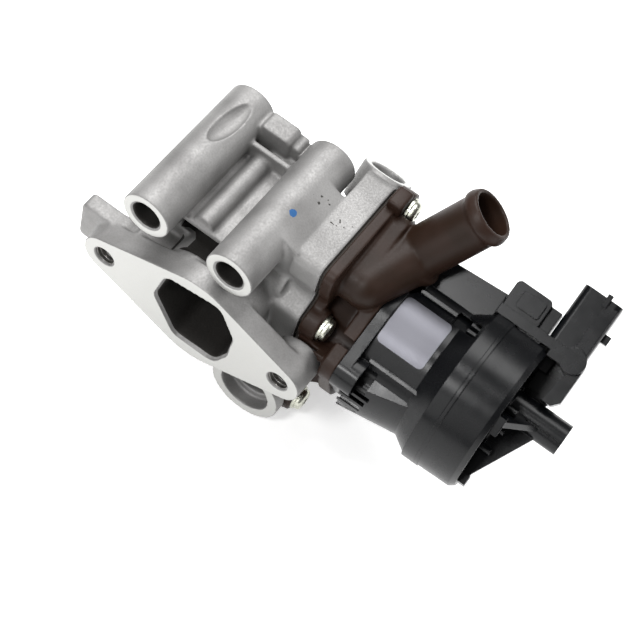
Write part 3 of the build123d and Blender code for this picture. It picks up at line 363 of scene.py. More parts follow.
@dataclass(frozen=True, kw_only=True)
class CastFinish(Finish):
    """Die-cast metal: a sandy skin, bright where a cutter has faced it, with painted shade in its bores,
    hollows and pits.
    """

    flats: tuple[CutFlat, ...]
    shaded_spaces: tuple[ShadedSpace, ...]
    pit_place: Point
    pit_reach: Point
    mark_place: Point
    mark_r: float
    bright: str = "#b4b4b1"
    bright_roughness: float = 0.34
    bright_spread: float = 0.05
    cutter_size: float = 0.9
    # Colour of the painted shade on the walls of the bores and hollows
    painted_shade: str = "#3b3937"
    # Colour of the painted shade in the casting's pits, which have no dents of their own
    pit_shade: str = "#3f3d3b"
    pit_size: float = 1.3
    mark: str = "#18548a"
    mark_wobble: float = 0.9
    wobble_size: float = 1.4

    def pitted(self, tree: bpy.types.NodeTree, place: Any) -> Any:
        """Finds the small pits that show in a line across the casting, where their shade is painted as dark
        spots.

        Args:
            tree: Node tree of the material.
            place: Socket with the place on the surface, in metres.

        Returns:
            The socket that is 1 in the pits and 0 elsewhere.
        """
        away = add_node(tree, "VectorMath", {0: place, 1: metres(self.pit_place)}, operation="SUBTRACT")
        share = add_node(tree, "VectorMath", {
            0: away.outputs["Vector"], 1: metres(self.pit_reach)}, operation="DIVIDE")
        reach = add_node(tree, "VectorMath", {0: share.outputs["Vector"]}, operation="LENGTH")
        near = add_node(tree, "Math", {0: reach.outputs["Value"], 1: 1.0}, operation="LESS_THAN")
        noise = add_node(tree, "TexNoise", {
            "Vector": place, "Scale": per_mm(self.pit_size), "Detail": PATTERN_DETAIL / 2})
        spots = add_node(tree, "MapRange", {
            "Value": noise.outputs["Fac"], "From Min": 0.66, "From Max": 0.72})
        both = {0: spots.outputs["Result"], 1: near.outputs["Value"]}
        return add_node(tree, "Math", both, operation="MULTIPLY").outputs["Value"]

    def painted(self, tree: bpy.types.NodeTree, place: Any) -> Any:
        """Finds the inspector's paint spot, whose border wavers as a brush leaves it.

        Args:
            tree: Node tree of the material.
            place: Socket with the place on the surface, in metres.

        Returns:
            The socket that is 1 on the spot and 0 elsewhere.
        """
        away = add_node(tree, "VectorMath", {0: place, 1: metres(self.mark_place)}, operation="DISTANCE")
        noise = add_node(tree, "TexNoise", {
            "Vector": place, "Scale": per_mm(self.wobble_size), "Detail": PATTERN_DETAIL})
        wobble = add_node(tree, "Math", {
            0: noise.outputs["Fac"], 1: self.mark_wobble * MM}, operation="MULTIPLY")
        edge = add_node(tree, "Math", {
            0: away.outputs["Value"], 1: wobble.outputs["Value"]}, operation="ADD").outputs["Value"]
        reach = (self.mark_r + self.mark_wobble / 2) * MM
        return add_node(tree, "Math", {0: edge, 1: reach}, operation="LESS_THAN").outputs["Value"]

    def union(self, tree: bpy.types.NodeTree, masks: list[Any]) -> Any:
        """Joins masks.

        Args:
            tree: Node tree of the material.
            masks: Sockets that are 0 or 1.

        Returns:
            The socket that is 1 where any of them is.
        """
        total, *others = masks
        for other in others:
            total = add_node(tree, "Math", {0: total, 1: other}, operation="MAXIMUM").outputs["Value"]
        return total

    def sockets(self, tree: bpy.types.NodeTree, place: Any) -> dict[str, Any]:
        """What the casting gives to its shader, with its flats, painted shade in bores and hollows, painted
        shade of pits and paint spot.

        Args:
            tree: Node tree of the material.
            place: Socket with the place on the surface, in metres.

        Returns:
            Names of the shader's inputs with their values or sockets.
        """
        values = super().sockets(tree, place)
        milled = self.union(tree, [flat.mask(tree, place) for flat in self.flats])
        # Mask of the painted shade in the bores and hollows
        shade_mask = self.union(tree, [space.mask(tree, place) for space in self.shaded_spaces])
        painted = self.painted(tree, place)
        cutter = add_node(tree, "TexNoise", {
            "Vector": place, "Scale": per_mm(self.cutter_size), "Detail": PATTERN_DETAIL})
        shine = add_node(tree, "MapRange", {
            "Value": cutter.outputs["Fac"], "From Min": 0.2, "From Max": 0.8,
            "To Min": self.bright_roughness - self.bright_spread,
            "To Max": self.bright_roughness + self.bright_spread})
        rough = add_node(tree, "Mix", {
            "Factor": milled, "A": values["Roughness"], "B": shine.outputs["Result"]}, data_type="FLOAT")
        bare = add_node(tree, "Math", {0: 1.0, 1: painted}, operation="SUBTRACT").outputs["Value"]
        metal = add_node(tree, "Math", {0: bare, 1: self.metallic}, operation="MULTIPLY")
        # Layers: cut flats, painted shade in bores and hollows, painted shade of pits, paint spot
        values["Base Color"] = overlaid(tree, values["Base Color"], (
            (milled, linear(self.bright)), (shade_mask, linear(self.painted_shade)),
            (self.pitted(tree, place), linear(self.pit_shade)), (painted, linear(self.mark))))
        values["Roughness"] = rough.outputs["Result"]
        values["Metallic"] = metal.outputs["Value"]
        return values


@dataclass(frozen=True)
class TurnedFinish(Finish):
    """Turned or ground metal: faint rings about the valve axis, drawn coarse enough to show."""

    grain_depth: float = 0.02
    axis_y: float = 36.0
    axis_z: float = -3.4
    ring_pitch: float = 2.2

    def height(self, tree: bpy.types.NodeTree, place: Any, grain: Any) -> Any:
        """Height of the lathe rings, from 0 to 1.

        Args:
            tree: Node tree of the material.
            place: Socket with the place on the surface, in metres.
            grain: Socket with the fine grain, which the rings hide.

        Returns:
            The height socket.
        """
        centre = (0.0, -self.axis_y * MM, -self.axis_z * MM)
        centred = add_node(tree, "Mapping", {"Vector": place, "Location": centre}).outputs["Vector"]
        scale = math.tau / (WAVE_RATE * self.ring_pitch * MM)
        return add_node(tree, "TexWave", {
            "Vector": centred, "Scale": scale, "Distortion": 0.6,
        }, wave_type="RINGS", rings_direction=Axis.X.value).outputs["Fac"]


@dataclass(frozen=True, kw_only=True)
class LayeredFinish(Finish):
    """Stacked sheets or wound wire: fine dark lines across one axis, drawn coarse enough to show."""

    grain_depth: float = 0.02
    pitch: float
    across: Axis
    gap: str = "#1c1a19"

    def lines(self, tree: bpy.types.NodeTree, place: Any) -> Any:
        """Layers from 0 in a gap to 1 on a crest.

        Args:
            tree: Node tree of the material.
            place: Socket with the place on the surface, in metres.

        Returns:
            The socket with the layers.
        """
        scale = math.tau / (WAVE_RATE * self.pitch * MM)
        return add_node(tree, "TexWave", {
            "Vector": place, "Scale": scale, "Distortion": 0.2,
        }, wave_type="BANDS", bands_direction=self.across.value).outputs["Fac"]

    def height(self, tree: bpy.types.NodeTree, place: Any, grain: Any) -> Any:
        """Height of the layers, from 0 to 1."""
        return self.lines(tree, place)

    def tone(self, tree: bpy.types.NodeTree, place: Any) -> Any:
        """Colour of the layers with the dark gaps between them.

        Args:
            tree: Node tree of the material.
            place: Socket with the place on the surface, in metres.

        Returns:
            The colour socket.
        """
        share = add_node(tree, "MapRange", {
            "Value": self.lines(tree, place), "From Min": 0.0, "From Max": 0.25}).outputs["Result"]
        return overlaid(tree, linear(self.gap), ((share, super().tone(tree, place)),))


def dress(material: bpy.types.Material, *names: str) -> None:
    """Gives a material to all slots of solids or pieces.

    Args:
        material: The finished material.
        names: Names of the nodes or pieces that take it.
    """
    for name in names:
        mesh = bpy.data.objects[name].data if name in bpy.data.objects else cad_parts[name].data
        if not mesh.materials:
            mesh.materials.append(material)
        for i in range(len(mesh.materials)):
            mesh.materials[i] = material
        LOG.info("dressed %s in %s", name, material.name)


def alone(piece: bpy.types.Object) -> None:
    """Selects one object and makes it active."""
    bpy.ops.object.select_all(action="DESELECT")
    piece.select_set(True)
    bpy.context.view_layer.objects.active = piece


def apply_modifier(piece: bpy.types.Object, kind: str, **settings: Any) -> None:
    """Adds one modifier with its settings and applies it.

    Args:
        piece: Object that takes it.
        kind: Blender's name of the modifier type.
        settings: Properties of the modifier.
    """
    alone(piece)
    modifier = piece.modifiers.new(kind.lower(), kind)
    for name, value in settings.items():
        setattr(modifier, name, value)
    bpy.ops.object.modifier_apply(modifier=modifier.name)


def points_of(mesh: bpy.types.Mesh) -> np.ndarray:
    """Vertex places of a mesh in millimetres, one row each."""
    values = np.empty(len(mesh.vertices) * 3)
    mesh.vertices.foreach_get("co", values)
    return values.reshape(-1, 3) / MM


@dataclass(frozen=True)
class SoftSkin:
    """Copy of a solid with the rounded edges and filled corners that a die leaves.

    The flats and bores that a cutter has made keep their edges. A vertex in an inside corner is
    one whose neighbours lie outside it by more than hollow_lift, for a cell of 1 mm.
    """

    node: str
    name: str
    keep: tuple[CutFlat | CutBore, ...]
    cell: float = 0.36
    first_rounds: int = 2
    edge_rounds: int = 9
    corner_rounds: int = 50
    corner_border: int = 4
    edge_reach: float = 0.7
    corner_reach: float = 1.2
    hollow_lift: float = 0.06
    triangles: int = 180000
    shape: Callable[[bpy.types.Object], None] | None = None

    def copy(self) -> bpy.types.Object:
        """Merged copy of the solid, at the same place.

        Returns:
            The copy.
        """
        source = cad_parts[self.node]
        piece = bpy.data.objects.new(self.name, source.data.copy())
        bpy.context.collection.objects.link(piece)
        alone(piece)
        bpy.ops.object.mode_set(mode="EDIT")
        bpy.ops.mesh.select_all(action="SELECT")
        bpy.ops.mesh.remove_doubles(threshold=0.001 * MM)
        bpy.ops.mesh.normals_make_consistent(inside=False)
        bpy.ops.object.mode_set(mode="OBJECT")
        return piece

    def smooth(self, piece: bpy.types.Object, rounds: int, chosen: np.ndarray | None = None,
               border: int = 0) -> None:
        """Smooths the whole mesh or the chosen vertices.

        Args:
            piece: Object to smooth.
            rounds: How often each vertex moves halfway to its neighbours' middle.
            chosen: True for each vertex that moves, or none for all.
            border: Rounds of softening at the border of the chosen ones.
        """
        if chosen is None:
            apply_modifier(piece, "SMOOTH", factor=0.5, iterations=rounds)
            return
        group = piece.vertex_groups.new(name="smoothed")
        group.add(np.nonzero(chosen)[0].tolist(), 1.0, "REPLACE")
        piece.vertex_groups.active_index = group.index
        if border:
            alone(piece)
            bpy.ops.object.mode_set(mode="WEIGHT_PAINT")
            bpy.ops.object.vertex_group_smooth(factor=0.5, repeat=border)
            bpy.ops.object.mode_set(mode="OBJECT")
        apply_modifier(piece, "SMOOTH", factor=0.5, iterations=rounds, vertex_group=group.name)
        piece.vertex_groups.clear()

    def cut(self, points: np.ndarray, reach: float) -> np.ndarray:
        """Finds the vertices on a flat or bore that stays crisp.

        Args:
            points: Vertex places, one row each.
            reach: How far from it still counts.

        Returns:
            True for each such vertex.
        """
        mask = np.zeros(len(points), bool)
        for place in self.keep:
            mask |= place.near(points, reach)
        return mask

    def hollow(self, mesh: bpy.types.Mesh, points: np.ndarray) -> np.ndarray:
        """Finds the vertices in an inside corner.

        Args:
            mesh: Mesh of the skin.
            points: Its vertex places, one row each.

        Returns:
            True for each such vertex.
        """
        ends = np.empty(len(mesh.edges) * 2, int)
        mesh.edges.foreach_get("vertices", ends)
        first, second = ends.reshape(-1, 2).T
        total = np.zeros_like(points)
        count = np.zeros(len(points))
        for one, other in ((first, second), (second, first)):
            np.add.at(total, one, points[other])
            np.add.at(count, one, 1)
        normals = np.empty(len(points) * 3)
        mesh.vertices.foreach_get("normal", normals)
        lift = ((total / count[:, None] - points) * normals.reshape(-1, 3)).sum(1)
        return lift > self.hollow_lift * self.cell ** 2

    def build(self) -> None:
        """Makes the skin and puts it in the solid's place."""
        piece = self.copy()
        if self.shape:
            self.shape(piece)
        apply_modifier(piece, "REMESH", mode="VOXEL", voxel_size=self.cell * MM, adaptivity=0.0)
        self.smooth(piece, self.first_rounds)
        points = points_of(piece.data)
        self.smooth(piece, self.edge_rounds, ~self.cut(points, self.edge_reach))
        points = points_of(piece.data)
        corners = self.hollow(piece.data, points) & ~self.cut(points, self.corner_reach)
        self.smooth(piece, self.corner_rounds, corners, self.corner_border)
        share = self.triangles / (2 * len(piece.data.polygons))
        if share < 1:
            apply_modifier(piece, "DECIMATE", ratio=share)
        alone(piece)
        bpy.ops.object.shade_smooth()
        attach(piece, HOUSING)
        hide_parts(self.node)
        LOG.info("built %s with %d faces", self.name, len(piece.data.polygons))


@dataclass(frozen=True)
class Coil:
    """Wire or ridge that winds about an axis from a starting point."""

    name: str
    start: Point
    axis: Axis
    radius: float
    pitch: float
    turns: int
    wire_r: float
    sides: int
    steps: int = 36

    def build(self) -> bpy.types.Object:
        """Makes the coil.

        Returns:
            The finished piece.
        """
        aside = (self.radius * MM, 0.0, 0.0) if self.axis is Axis.Y else (0.0, self.radius * MM, 0.0)
        bpy.ops.object.select_all(action="DESELECT")
        bpy.ops.mesh.primitive_circle_add(
            vertices=self.sides, radius=self.wire_r * MM, location=(0.0, 0.0, 0.0))
        piece = bpy.context.object
        piece.name = self.name
        bpy.ops.object.mode_set(mode="EDIT")
        bpy.ops.mesh.select_all(action="SELECT")
        # A three-sided ridge gets its point turned towards the axis
        bpy.ops.transform.rotate(value=math.radians(90), orient_axis="Z", center_override=(0.0, 0.0, 0.0))
        bpy.ops.transform.translate(value=aside)
        bpy.ops.object.mode_set(mode="OBJECT")
        apply_modifier(
            piece, "SCREW", axis=self.axis.value, angle=math.tau, screw_offset=self.pitch * MM,
            iterations=self.turns, steps=self.steps, render_steps=self.steps, use_normal_calculate=True)
        bpy.ops.object.mode_set(mode="EDIT")
        bpy.ops.mesh.select_all(action="DESELECT")
        bpy.ops.mesh.select_non_manifold()
        bpy.ops.mesh.fill_holes(sides=0)
        bpy.ops.mesh.select_all(action="SELECT")
        bpy.ops.mesh.normals_make_consistent(inside=False)
        bpy.ops.transform.translate(value=metres(self.start))
        bpy.ops.object.mode_set(mode="OBJECT")
        bpy.ops.object.shade_smooth_by_angle(angle=CRISP_ANGLE)
        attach(piece, HOUSING)
        LOG.info("built %s", self.name)
        return piece


@dataclass(frozen=True)
class MouldedBlock:
    """Block of a moulding with soft edges, turned about X in degrees and then moved to its place.

    A slant is a point and an outward direction, both in X and Y, where one corner is cut away.
    """

    name: str
    box: Box
    turn: float = 0.0
    place: Point = (0.0, 0.0, 0.0)
    slant: tuple[tuple[float, float], tuple[float, float]] | None = None
    soft: float = 0.5

    def build(self) -> None:
        """Makes the block."""
        bpy.ops.object.select_all(action="DESELECT")
        bpy.ops.mesh.primitive_cube_add(size=1.0)
        piece = bpy.context.object
        piece.name = self.name
        bpy.ops.object.mode_set(mode="EDIT")
        bpy.ops.mesh.select_all(action="SELECT")
        bpy.ops.transform.resize(value=self.box.size())
        bpy.ops.transform.translate(value=self.box.middle())
        if self.slant:
            (x, y), outward = self.slant
            bpy.ops.mesh.bisect(plane_co=metres((x, y, 0.0)), plane_no=(*outward, 0.0),
                                use_fill=True, clear_outer=True)
        bpy.ops.mesh.select_all(action="SELECT")
        bpy.ops.mesh.normals_make_consistent(inside=False)
        bpy.ops.object.mode_set(mode="OBJECT")
        apply_modifier(piece, "BEVEL", width=self.soft * MM, segments=3)
        piece.rotation_euler = (math.radians(self.turn), 0.0, 0.0)
        piece.location = metres(self.place)
        bpy.ops.object.transform_apply(location=True, rotation=True, scale=True)
        bpy.ops.object.shade_smooth_by_angle(angle=CRISP_ANGLE)
        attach(piece, HOUSING)
        LOG.info("built %s", self.name)


@dataclass(frozen=True)
class SoftBox:
    """A square lamp that looks at the valve. Its place, aim and side are in metres, its power in watts."""

    name: str
    place: Point
    side: float
    power: float
    aim: Point = (0.03, 0.035, 0.0)

    def build(self) -> None:
        """Hangs the lamp."""
        data = bpy.data.lights.new(self.name, "AREA")
        data.size = self.side
        data.energy = self.power
        lamp = bpy.data.objects.new(self.name, data)
        lamp.location = self.place
        lamp.rotation_euler = (Vector(self.aim) - Vector(self.place)).to_track_quat("-Z", "Y").to_euler()
        bpy.context.collection.objects.link(lamp)


@dataclass(frozen=True)
class Studio:
    """White sweep, soft light and a long lens where the picture was taken from.

    The eye and the floor are in metres, the turn in degrees and the lens in millimetres.
    """

    eye: Point = (0.11382, -0.24174, 0.45814)
    turn: Point = (29.793, -10.496, 35.169)
    lens: float = 102.1
    sensor: float = 36.0
    floor_size: float = 6.0
    floor_gap: float = 0.0005
    room_light: float = 0.2
    lamps: tuple[SoftBox, ...] = (
        SoftBox("key", (-0.3, 0.5, 0.9), side=0.85, power=13.5),
        SoftBox("top", (-0.08, -0.13, 0.98), side=0.1, power=1.2),
        SoftBox("front", (-0.13, -0.52, 0.84), side=0.14, power=3.6),
        SoftBox("fill", (-0.3, -1.0, 0.5), side=0.8, power=4.0),
        SoftBox("rim", (0.9, 0.5, 0.7), side=0.4, power=4.0),
    )

    def camera(self) -> None:
        """Adds the camera."""
        data = bpy.data.cameras.new("eye")
        data.lens = self.lens
        data.sensor_width = self.sensor
        data.clip_end = 20.0
        camera = bpy.data.objects.new("eye", data)
        camera.location = self.eye
        camera.rotation_euler = [math.radians(a) for a in self.turn]
        bpy.context.collection.objects.link(camera)
        bpy.context.scene.camera = camera

    def floor(self) -> None:
        """Adds the plain pale floor just below the valve."""
        low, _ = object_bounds()
        bpy.ops.object.select_all(action="DESELECT")
        bpy.ops.mesh.primitive_plane_add(
            size=self.floor_size, location=(0.0, 0.0, low.z - self.floor_gap))
        plane = bpy.context.object
        plane.name = "pale_floor"
        # Matt painted board: near white with no sheen, and lit from below, as a photographer's
        # table is, so that shadows stay faint
        board = Finish("matt_white_board", "#f7f7f7", "#f4f4f4", roughness=0.9, glow=0.5)
        plane.data.materials.append(board.build())
        plane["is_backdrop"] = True

    def room(self) -> None:
        """Adds the pale surroundings."""
        world = bpy.data.worlds.new("pale_room")
        world.use_nodes = True
        background = world.node_tree.nodes["Background"]
        background.inputs["Color"].default_value = linear("#ffffff")
        background.inputs["Strength"].default_value = self.room_light
        bpy.context.scene.world = world
        bpy.context.scene.view_settings.view_transform = "Standard"

    def build(self) -> None:
        """Sets the whole stage."""
        self.camera()
        self.floor()
        for lamp in self.lamps:
            lamp.build()
        self.room()


@dataclass(frozen=True)
class Housing:
    """Die-cast housing with its seat, plug and bush."""

    bolt_half: float = 31.75
    bolt_core: float = 3.8
    bolt_depth: float = 11.0
    thread_start: float = 0.9
    thread_r: float = 3.52
    thread_pitch: float = 1.25
    thread_turns: int = 7
    ridge: float = 0.55
    sleeve_left_x: float = -22.3
    sleeve_right_x: float = 7.0
    sleeve_z: float = 28.5
    sleeve_r: float = 7.88
    sleeve_mouth_r: float = 5.1
    sleeve_front_y: float = 3.0
    sleeve_back_y: float = 55.0
    # Half size and inset of the boxes of painted shade in the sleeves
    shade_half: float = 4.9
    shade_inset: float = 0.5
    port_normal: Point = (0.0, 0.7071, 0.7071)
    port_offset: float = 64.06
    low_bore: CutBore = CutBore((19.5, 9.0, -33.4), (0.0, 1.0, 0.0), 8.6, 22.0)
    valve_bore: CutBore = CutBore((-40.0, 36.0, -3.4), (1.0, 0.0, 0.0), 14.0, 80.0)
    scoop_bore: CutBore = CutBore((-21.5, 31.5, 36.8), (0.0, 1.0, 0.0), 4.0, 18.5)
    jacket_x: float = 27.0
    way: Box = Box((-15.5, 1.1, -14.2), (15.2, 40.0, 12.2))
    cave: Box = Box((-17.0, 9.0, 14.2), (-0.8, 36.0, 22.0))
    scoop_place: Point = (-21.4, 40.2, 36.7)
    scoop_half: Point = (3.4, 9.3, 2.5)
    scoop_turn: Point = (0.0, 9.0, -7.0)
    patch_y: float = 40.0
    patch_length: float = 26.0
    patch_core_r: float = 5.6
    patch_overrun: float = 4.0

    def flats(self) -> tuple[CutFlat, ...]:
        """Faces that a cutter has made flat and bright.

        Returns:
            The inlet face, both ends of the sleeves, the lower port's rim and the jacket's face.
        """
        front, back = (0.0, -1.0, 0.0), (0.0, 1.0, 0.0)
        sleeve_front = Box((-31.0, 2.0, 20.0), (16.0, 4.0, 40.0))
        sleeve_back = Box((-60.0, 54.0, -30.0), (20.0, 56.0, 40.0))
        return (
            CutFlat(front, 0.0, Box((-60.0, -1.0, -30.0), (60.0, 1.0, 30.0))),
            CutFlat(front, -self.sleeve_front_y, sleeve_front),
            CutFlat(back, self.sleeve_back_y, sleeve_back),
            CutFlat(front, -self.low_bore.start[1], Box((5.0, 8.0, -50.0), (33.0, 10.0, -20.0))),
            CutFlat((1.0, 0.0, 0.0), self.jacket_x),
        )

    def bores(self) -> tuple[CutBore, ...]:
        """Places that keep their edges because a drill, a reamer or a ball cutter has made them.

        Returns:
            The sleeves, the flange holes, the lower port, the valve's own bore and the scoop.
        """
        inwards = (0.0, 1.0, 0.0)
        length = self.sleeve_back_y - self.sleeve_front_y
        sleeves = tuple(
            CutBore((x, self.sleeve_front_y, self.sleeve_z), inwards, self.sleeve_mouth_r, length)
            for x in (self.sleeve_left_x, self.sleeve_right_x))
        bolts = tuple(
            CutBore((x, 0.0, 0.0), inwards, self.bolt_core, self.bolt_depth)
            for x in (-self.bolt_half, self.bolt_half))
        return (*sleeves, *bolts, self.low_bore, self.valve_bore, self.scoop_bore)

    def shaded_spaces(self) -> tuple[ShadedSpace, ...]:
        """Spaces that no cutter and no polish reaches, whose walls get painted shade.

        Returns:
            The sleeves' bores, the gas way and the hollow under the web.
        """
        # Boxes whose walls get painted shade
        inset, half = self.shade_inset, self.shade_half
        low, high = self.sleeve_front_y + inset, self.sleeve_back_y - inset
        sleeves = tuple(
            ShadedSpace(Box((x - half, low, self.sleeve_z - half), (x + half, high, self.sleeve_z + half)))
            for x in (self.sleeve_left_x, self.sleeve_right_x))
        return (*sleeves, ShadedSpace(self.way), ShadedSpace(self.cave))

    def carve(self, piece: bpy.types.Object) -> None:
        """Gives the left sleeve its long pointed scoop and hollows out the space under the web.

        Args:
            piece: Merged copy of the casting, before its edges are softened.
        """
        bpy.ops.object.select_all(action="DESELECT")
        along_y = (math.radians(90), 0.0, 0.0)
        middle = metres((self.sleeve_left_x, self.patch_y, self.sleeve_z))
        # The sleeve's wall is made whole first, because the solid has a plainer scoop there
        bpy.ops.mesh.primitive_cylinder_add(
            vertices=ROUND_SIDES, radius=self.sleeve_r * MM, depth=self.patch_length * MM,
            location=middle, rotation=along_y)
        wall = bpy.context.object
        bpy.ops.mesh.primitive_cylinder_add(
            vertices=ROUND_SIDES, radius=self.patch_core_r * MM,
            depth=(self.patch_length + self.patch_overrun) * MM, location=middle, rotation=along_y)
        core = bpy.context.object
        apply_modifier(wall, "BOOLEAN", operation="DIFFERENCE", object=core, solver="EXACT")
        bpy.ops.object.select_all(action="DESELECT")
        bpy.ops.mesh.primitive_uv_sphere_add(
            segments=64, ring_count=32, radius=MM, location=metres(self.scoop_place),
            rotation=[math.radians(a) for a in self.scoop_turn])
        scoop = bpy.context.object
        scoop.scale = self.scoop_half
        bpy.ops.object.select_all(action="DESELECT")
        bpy.ops.mesh.primitive_cube_add(size=1.0, location=self.cave.middle())
        cave = bpy.context.object
        cave.scale = self.cave.size()
        for operation, tool in (("UNION", wall), ("DIFFERENCE", scoop), ("DIFFERENCE", cave)):
            apply_modifier(piece, "BOOLEAN", operation=operation, object=tool, solver="EXACT")
        for spare in (wall, core, scoop, cave):
            bpy.data.objects.remove(spare)

    def threads(self) -> list[Coil]:
        """Ridges of the threads in the two flange holes."""
        return [
            Coil(f"flange_thread_{i + 1}", (x, self.thread_start, 0.0), Axis.Y, self.thread_r,
                 self.thread_pitch, self.thread_turns, self.ridge, sides=3)
            for i, x in enumerate((-self.bolt_half, self.bolt_half))
        ]

    def build(self) -> None:
        """Builds and dresses the housing and the pieces pressed into it."""
        keep = (*self.flats(), *self.bores())
        SoftSkin("valve_housing", "cast_housing", keep, shape=self.carve).build()
        # Die-cast aluminium: a pale grey sandy skin with slow clouds, bright where it was faced, matt, with
        # painted shade inside its bores and hollows and in its pits
        casting = CastFinish(
            "die_cast_aluminium", "#9b9a99", "#888786", metallic=0.75, roughness=0.62, grain_size=0.6,
            grain_depth=0.11, cloud_size=12.0, edge=0.2,
            flats=(*self.flats(), CutFlat(self.port_normal, self.port_offset)), shaded_spaces=self.shaded_spaces(),
            pit_place=(18.0, 37.0, 33.5), pit_reach=(9.5, 3.2, 4.0),
            mark_place=(10.3, 27.7, 35.7), mark_r=1.2)
        dress(casting.build(), "cast_housing", "valve_housing")
        # Tapped aluminium: bright where the tap has cut
        tapped = Finish("tapped_aluminium", "#c4c2be", "#b0aeaa", metallic=1.0, roughness=0.35)
        dress(tapped.build(), *[thread.build().name for thread in self.threads()])
        # Sintered and ground seat steel: warm grey with faint rings
        seat = TurnedFinish("ground_seat_steel", "#a39c92", "#8f887e", metallic=1.0, roughness=0.3)
        dress(seat.build(), "seat_ring")
        # Reamed bearing bronze: yellow brown with a soft shine
        bronze = TurnedFinish("bearing_bronze", "#b08a4e", "#9a7642", metallic=1.0, roughness=0.35)
        dress(bronze.build(), "stem_bush")
        # Zinc-plated deep-drawn steel: pale, with a faint warm green cast
        plug = Finish("zinc_plated_pressing", "#c3c3bb", "#b3b3aa", metallic=1.0, roughness=0.32)
        dress(plug.build(), "end_plug")


@dataclass(frozen=True)
class CoolantCover:
    """Brown moulded cover, its gasket, its screws and the seals of the valve."""

    joint_x: float = 27.9
    seat_x: float = 44.0
    shroud: Box = Box((28.0, 50.2, 29.0), (33.1, 57.5, 35.0))

    def build(self) -> None:
        """Builds and dresses the cover and its fixings."""
        keep = tuple(CutFlat((1.0, 0.0, 0.0), x) for x in (self.joint_x, self.seat_x))
        SoftSkin("coolant_cover", "moulded_cover", keep, cell=0.34, edge_rounds=10, corner_rounds=60,
                 triangles=150000).build()
        MouldedBlock("screw_shroud", self.shroud, soft=0.9).build()
        # Glass-filled polyamide: dark brown and satin, with a fine eroded grain
        cover = Finish("glass_filled_polyamide", "#2c1d16", "#24170f", roughness=0.45, grain_depth=0.012,
                       cloud_size=11.0, spread=0.05, edge=0.3, specular=0.22)
        dress(cover.build(), "moulded_cover", "coolant_cover", "screw_shroud")
        # Moulded rubber: nearly black, matt
        rubber = Finish("moulded_rubber", "#17171a", "#121214", roughness=0.7, grain_depth=0.02)
        dress(rubber.build(), "stem_seal", "motor_seal", "cap_seal")
        # Pressed fibre sheet: dark grey brown, matt
        fibre = Finish("fibre_sheet", "#38322d", "#2f2a26", roughness=0.85, grain_depth=0.02)
        dress(fibre.build(), "cover_gasket")
        # Zinc plate with a clear passivate: bright with a faint warm green cast
        zinc = Finish("zinc_plate", "#cfd0c3", "#bcbdb0", metallic=1.0, roughness=0.3)
        dress(zinc.build(), "cover_screws", "screw_limiters")


@dataclass(frozen=True)
class Motor:
    """Black motor with its cap, connector arm and label. Its blocks are given before its turn."""

    turn: float = 31.0
    axis_place: Point = (0.0, 36.0, -3.4)
    knuckle: Box = Box((85.6, 18.0, -9.0), (92.7, 25.4, -4.0))
    wall: Box = Box((89.7, 4.0, -9.0), (98.5, 22.0, -7.0))
    wall_slant: tuple[tuple[float, float], tuple[float, float]] = ((96.5, 8.0), (0.88, -0.47))

    def build(self) -> None:
        """Builds the small blocks of the knuckle and dresses the outside of the motor."""
        MouldedBlock("knuckle_block", self.knuckle, self.turn, self.axis_place).build()
        MouldedBlock("knuckle_wall", self.wall, self.turn, self.axis_place, self.wall_slant).build()
        # Black glass-filled polyamide: satin, with faint flow clouds
        black = Finish("black_polyamide", "#0b0c0e", "#08090b", roughness=0.26, grain_size=5.0,
                       cloud_size=16.0, spread=0.03, edge=0.35, specular=0.27)
        dress(black.build(), "actuator_casing", "end_cap", "connector_arm", "knuckle_block", "knuckle_wall")
        # Black zinc-nickel plate: dark, with the shine of metal
        plate = Finish("black_plate", "#5c5a58", "#4c4a48", metallic=1.0, roughness=0.26)
        dress(plate.build(), "motor_screws")
        # Satin aluminium foil: grey and even, with the finest of grains
        foil = Finish("label_foil", "#6a6a70", "#606066", metallic=0.8, roughness=0.42, grain_size=0.3,
                      grain_depth=0.005, cloud_size=20.0, spread=0.04, edge=0.1)
        dress(foil.build(), "rating_label")
        # Tin plate: pale and slightly warm, bright
        tin = Finish("tin_plate", "#d1cdbd", "#c4c0b0", metallic=1.0, roughness=0.28)
        dress(tin.build(), "terminal_pins")


@dataclass(frozen=True)
class ReturnSpring:
    """Spring between the housing and the cup on the stem."""

    seat: Point = (36.5, 36.0, -3.4)
    length: float = 15.9
    radius: float = 9.4
    wire_r: float = 0.7
    wire_sides: int = 12
    turns: int = 5
    stroke: float = 6.5

    def build(self) -> None:
        """Winds the spring at its rest length; the real one shortens as the valve opens."""
        x, y, z = self.seat
        pitch = (self.length - 2 * self.wire_r) / self.turns
        coil = Coil("spring_coil", (x + self.wire_r, y, z), Axis.X, self.radius, pitch, self.turns,
                    self.wire_r, self.wire_sides)
        piece = coil.build()
        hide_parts("return_spring")
        # Shot-peened spring steel: grey with a soft shine
        steel = Finish("spring_wire", "#8d8b88", "#7b7977", metallic=1.0, roughness=0.33)
        dress(steel.build(), piece.name, "return_spring")
        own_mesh(piece)


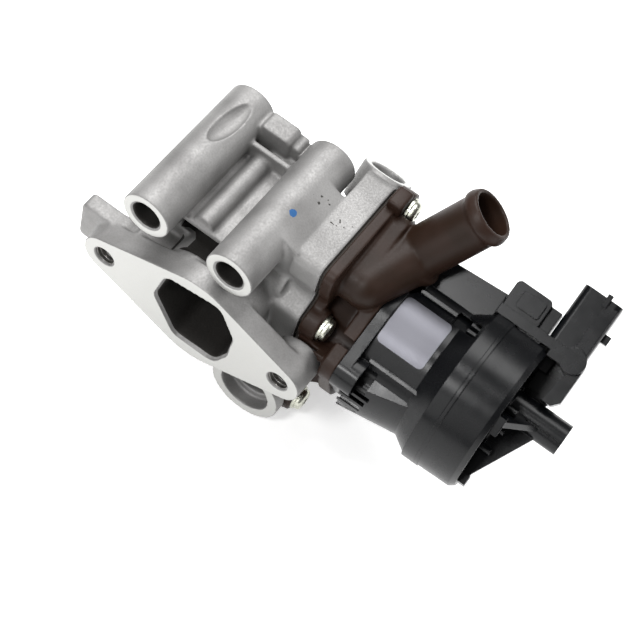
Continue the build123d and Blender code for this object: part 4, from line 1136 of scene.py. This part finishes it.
@dataclass(frozen=True)
class InnerWorks:
    """Valve line, rotor, stator and electrics inside the casing."""

    def moving(self) -> None:
        """Dresses the valve line, the bearings and the rotor."""
        # Heat-resistant valve steel: brownish from heat, with faint rings
        valve = TurnedFinish("valve_steel", "#8f867b", "#7c7369", metallic=1.0, roughness=0.32)
        dress(valve.build(), "poppet_valve")
        # Ground steel: clean grey with faint rings
        ground = TurnedFinish("ground_steel", "#b9b9b7", "#a9a9a7", metallic=1.0, roughness=0.25)
        dress(ground.build(), "spindle", "spring_cup", "motor_end_plate")
        # Hardened and lapped bearing steel: pale, close to a mirror
        bearing = TurnedFinish("bearing_steel", "#c9c9c9", "#bdbdbd", metallic=1.0, roughness=0.16)
        races = [f"{end}_bearing_{part}" for end in ("front", "rear") for part in ("outer", "inner", "balls")]
        dress(bearing.build(), *races)
        # Nickel plate on the sensor's magnet: bright and slightly yellow
        nickel = Finish("nickel_plate", "#b5b1a8", "#a7a39b", metallic=1.0, roughness=0.22)
        dress(nickel.build(), "sensor_magnet")
        # Sintered ferrite: charcoal, with a dull half-metal look
        ferrite = Finish("sintered_ferrite", "#3a3a3d", "#313134", metallic=0.3, grain_depth=0.02)
        dress(ferrite.build(), "rotor_magnets")
        # Natural polyamide: the cream of unfilled resin, satin
        resin = Finish("natural_polyamide", "#c6bfa9", "#b9b29c", roughness=0.45, grain_depth=0.02)
        dress(resin.build(), "rotor_shaft")

    def fixed(self) -> None:
        """Dresses the stator and the electrics."""
        # Stacked steel sheets: grey with dark joints. Real sheets are 0.5 mm thick, too fine to show
        stack = LayeredFinish("stacked_steel", "#8a8a8c", "#7a7a7c", metallic=1.0, roughness=0.4,
                              pitch=3.14, across=Axis.X)
        dress(stack.build(), "stator_stack")
        # Enamelled copper wire: glossy orange brown. Real wire is 0.45 mm thick, too fine to show
        copper = LayeredFinish("enamelled_copper", "#b5652f", "#a25726", metallic=0.9, roughness=0.3,
                               pitch=2.83, across=Axis.Z)
        dress(copper.build(), "stator_coils")
        # Solder mask: smooth deep green, half glossy
        board = Finish("solder_mask", "#1c5a37", "#174d2f", roughness=0.3)
        dress(board.build(), "circuit_board")
        # Moulded epoxy of a chip: nearly black, matt
        chip = Finish("chip_epoxy", "#18181a", "#141416", roughness=0.55, grain_depth=0.02)
        dress(chip.build(), "position_sensor")

    def build(self) -> None:
        """Dresses what is out of sight, or seen only through the ports."""
        self.moving()
        self.fixed()


def main() -> None:
    """Builds the stage and each sub-assembly in order."""
    logging.basicConfig(level=logging.INFO, format="%(name)s: %(message)s")
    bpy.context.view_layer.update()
    Studio().build()
    for group in (Housing(), CoolantCover(), Motor(), ReturnSpring(), InnerWorks()):
        group.build()
        LOG.info("finished %s", type(group).__name__)


if __name__ == "__main__":
    main()
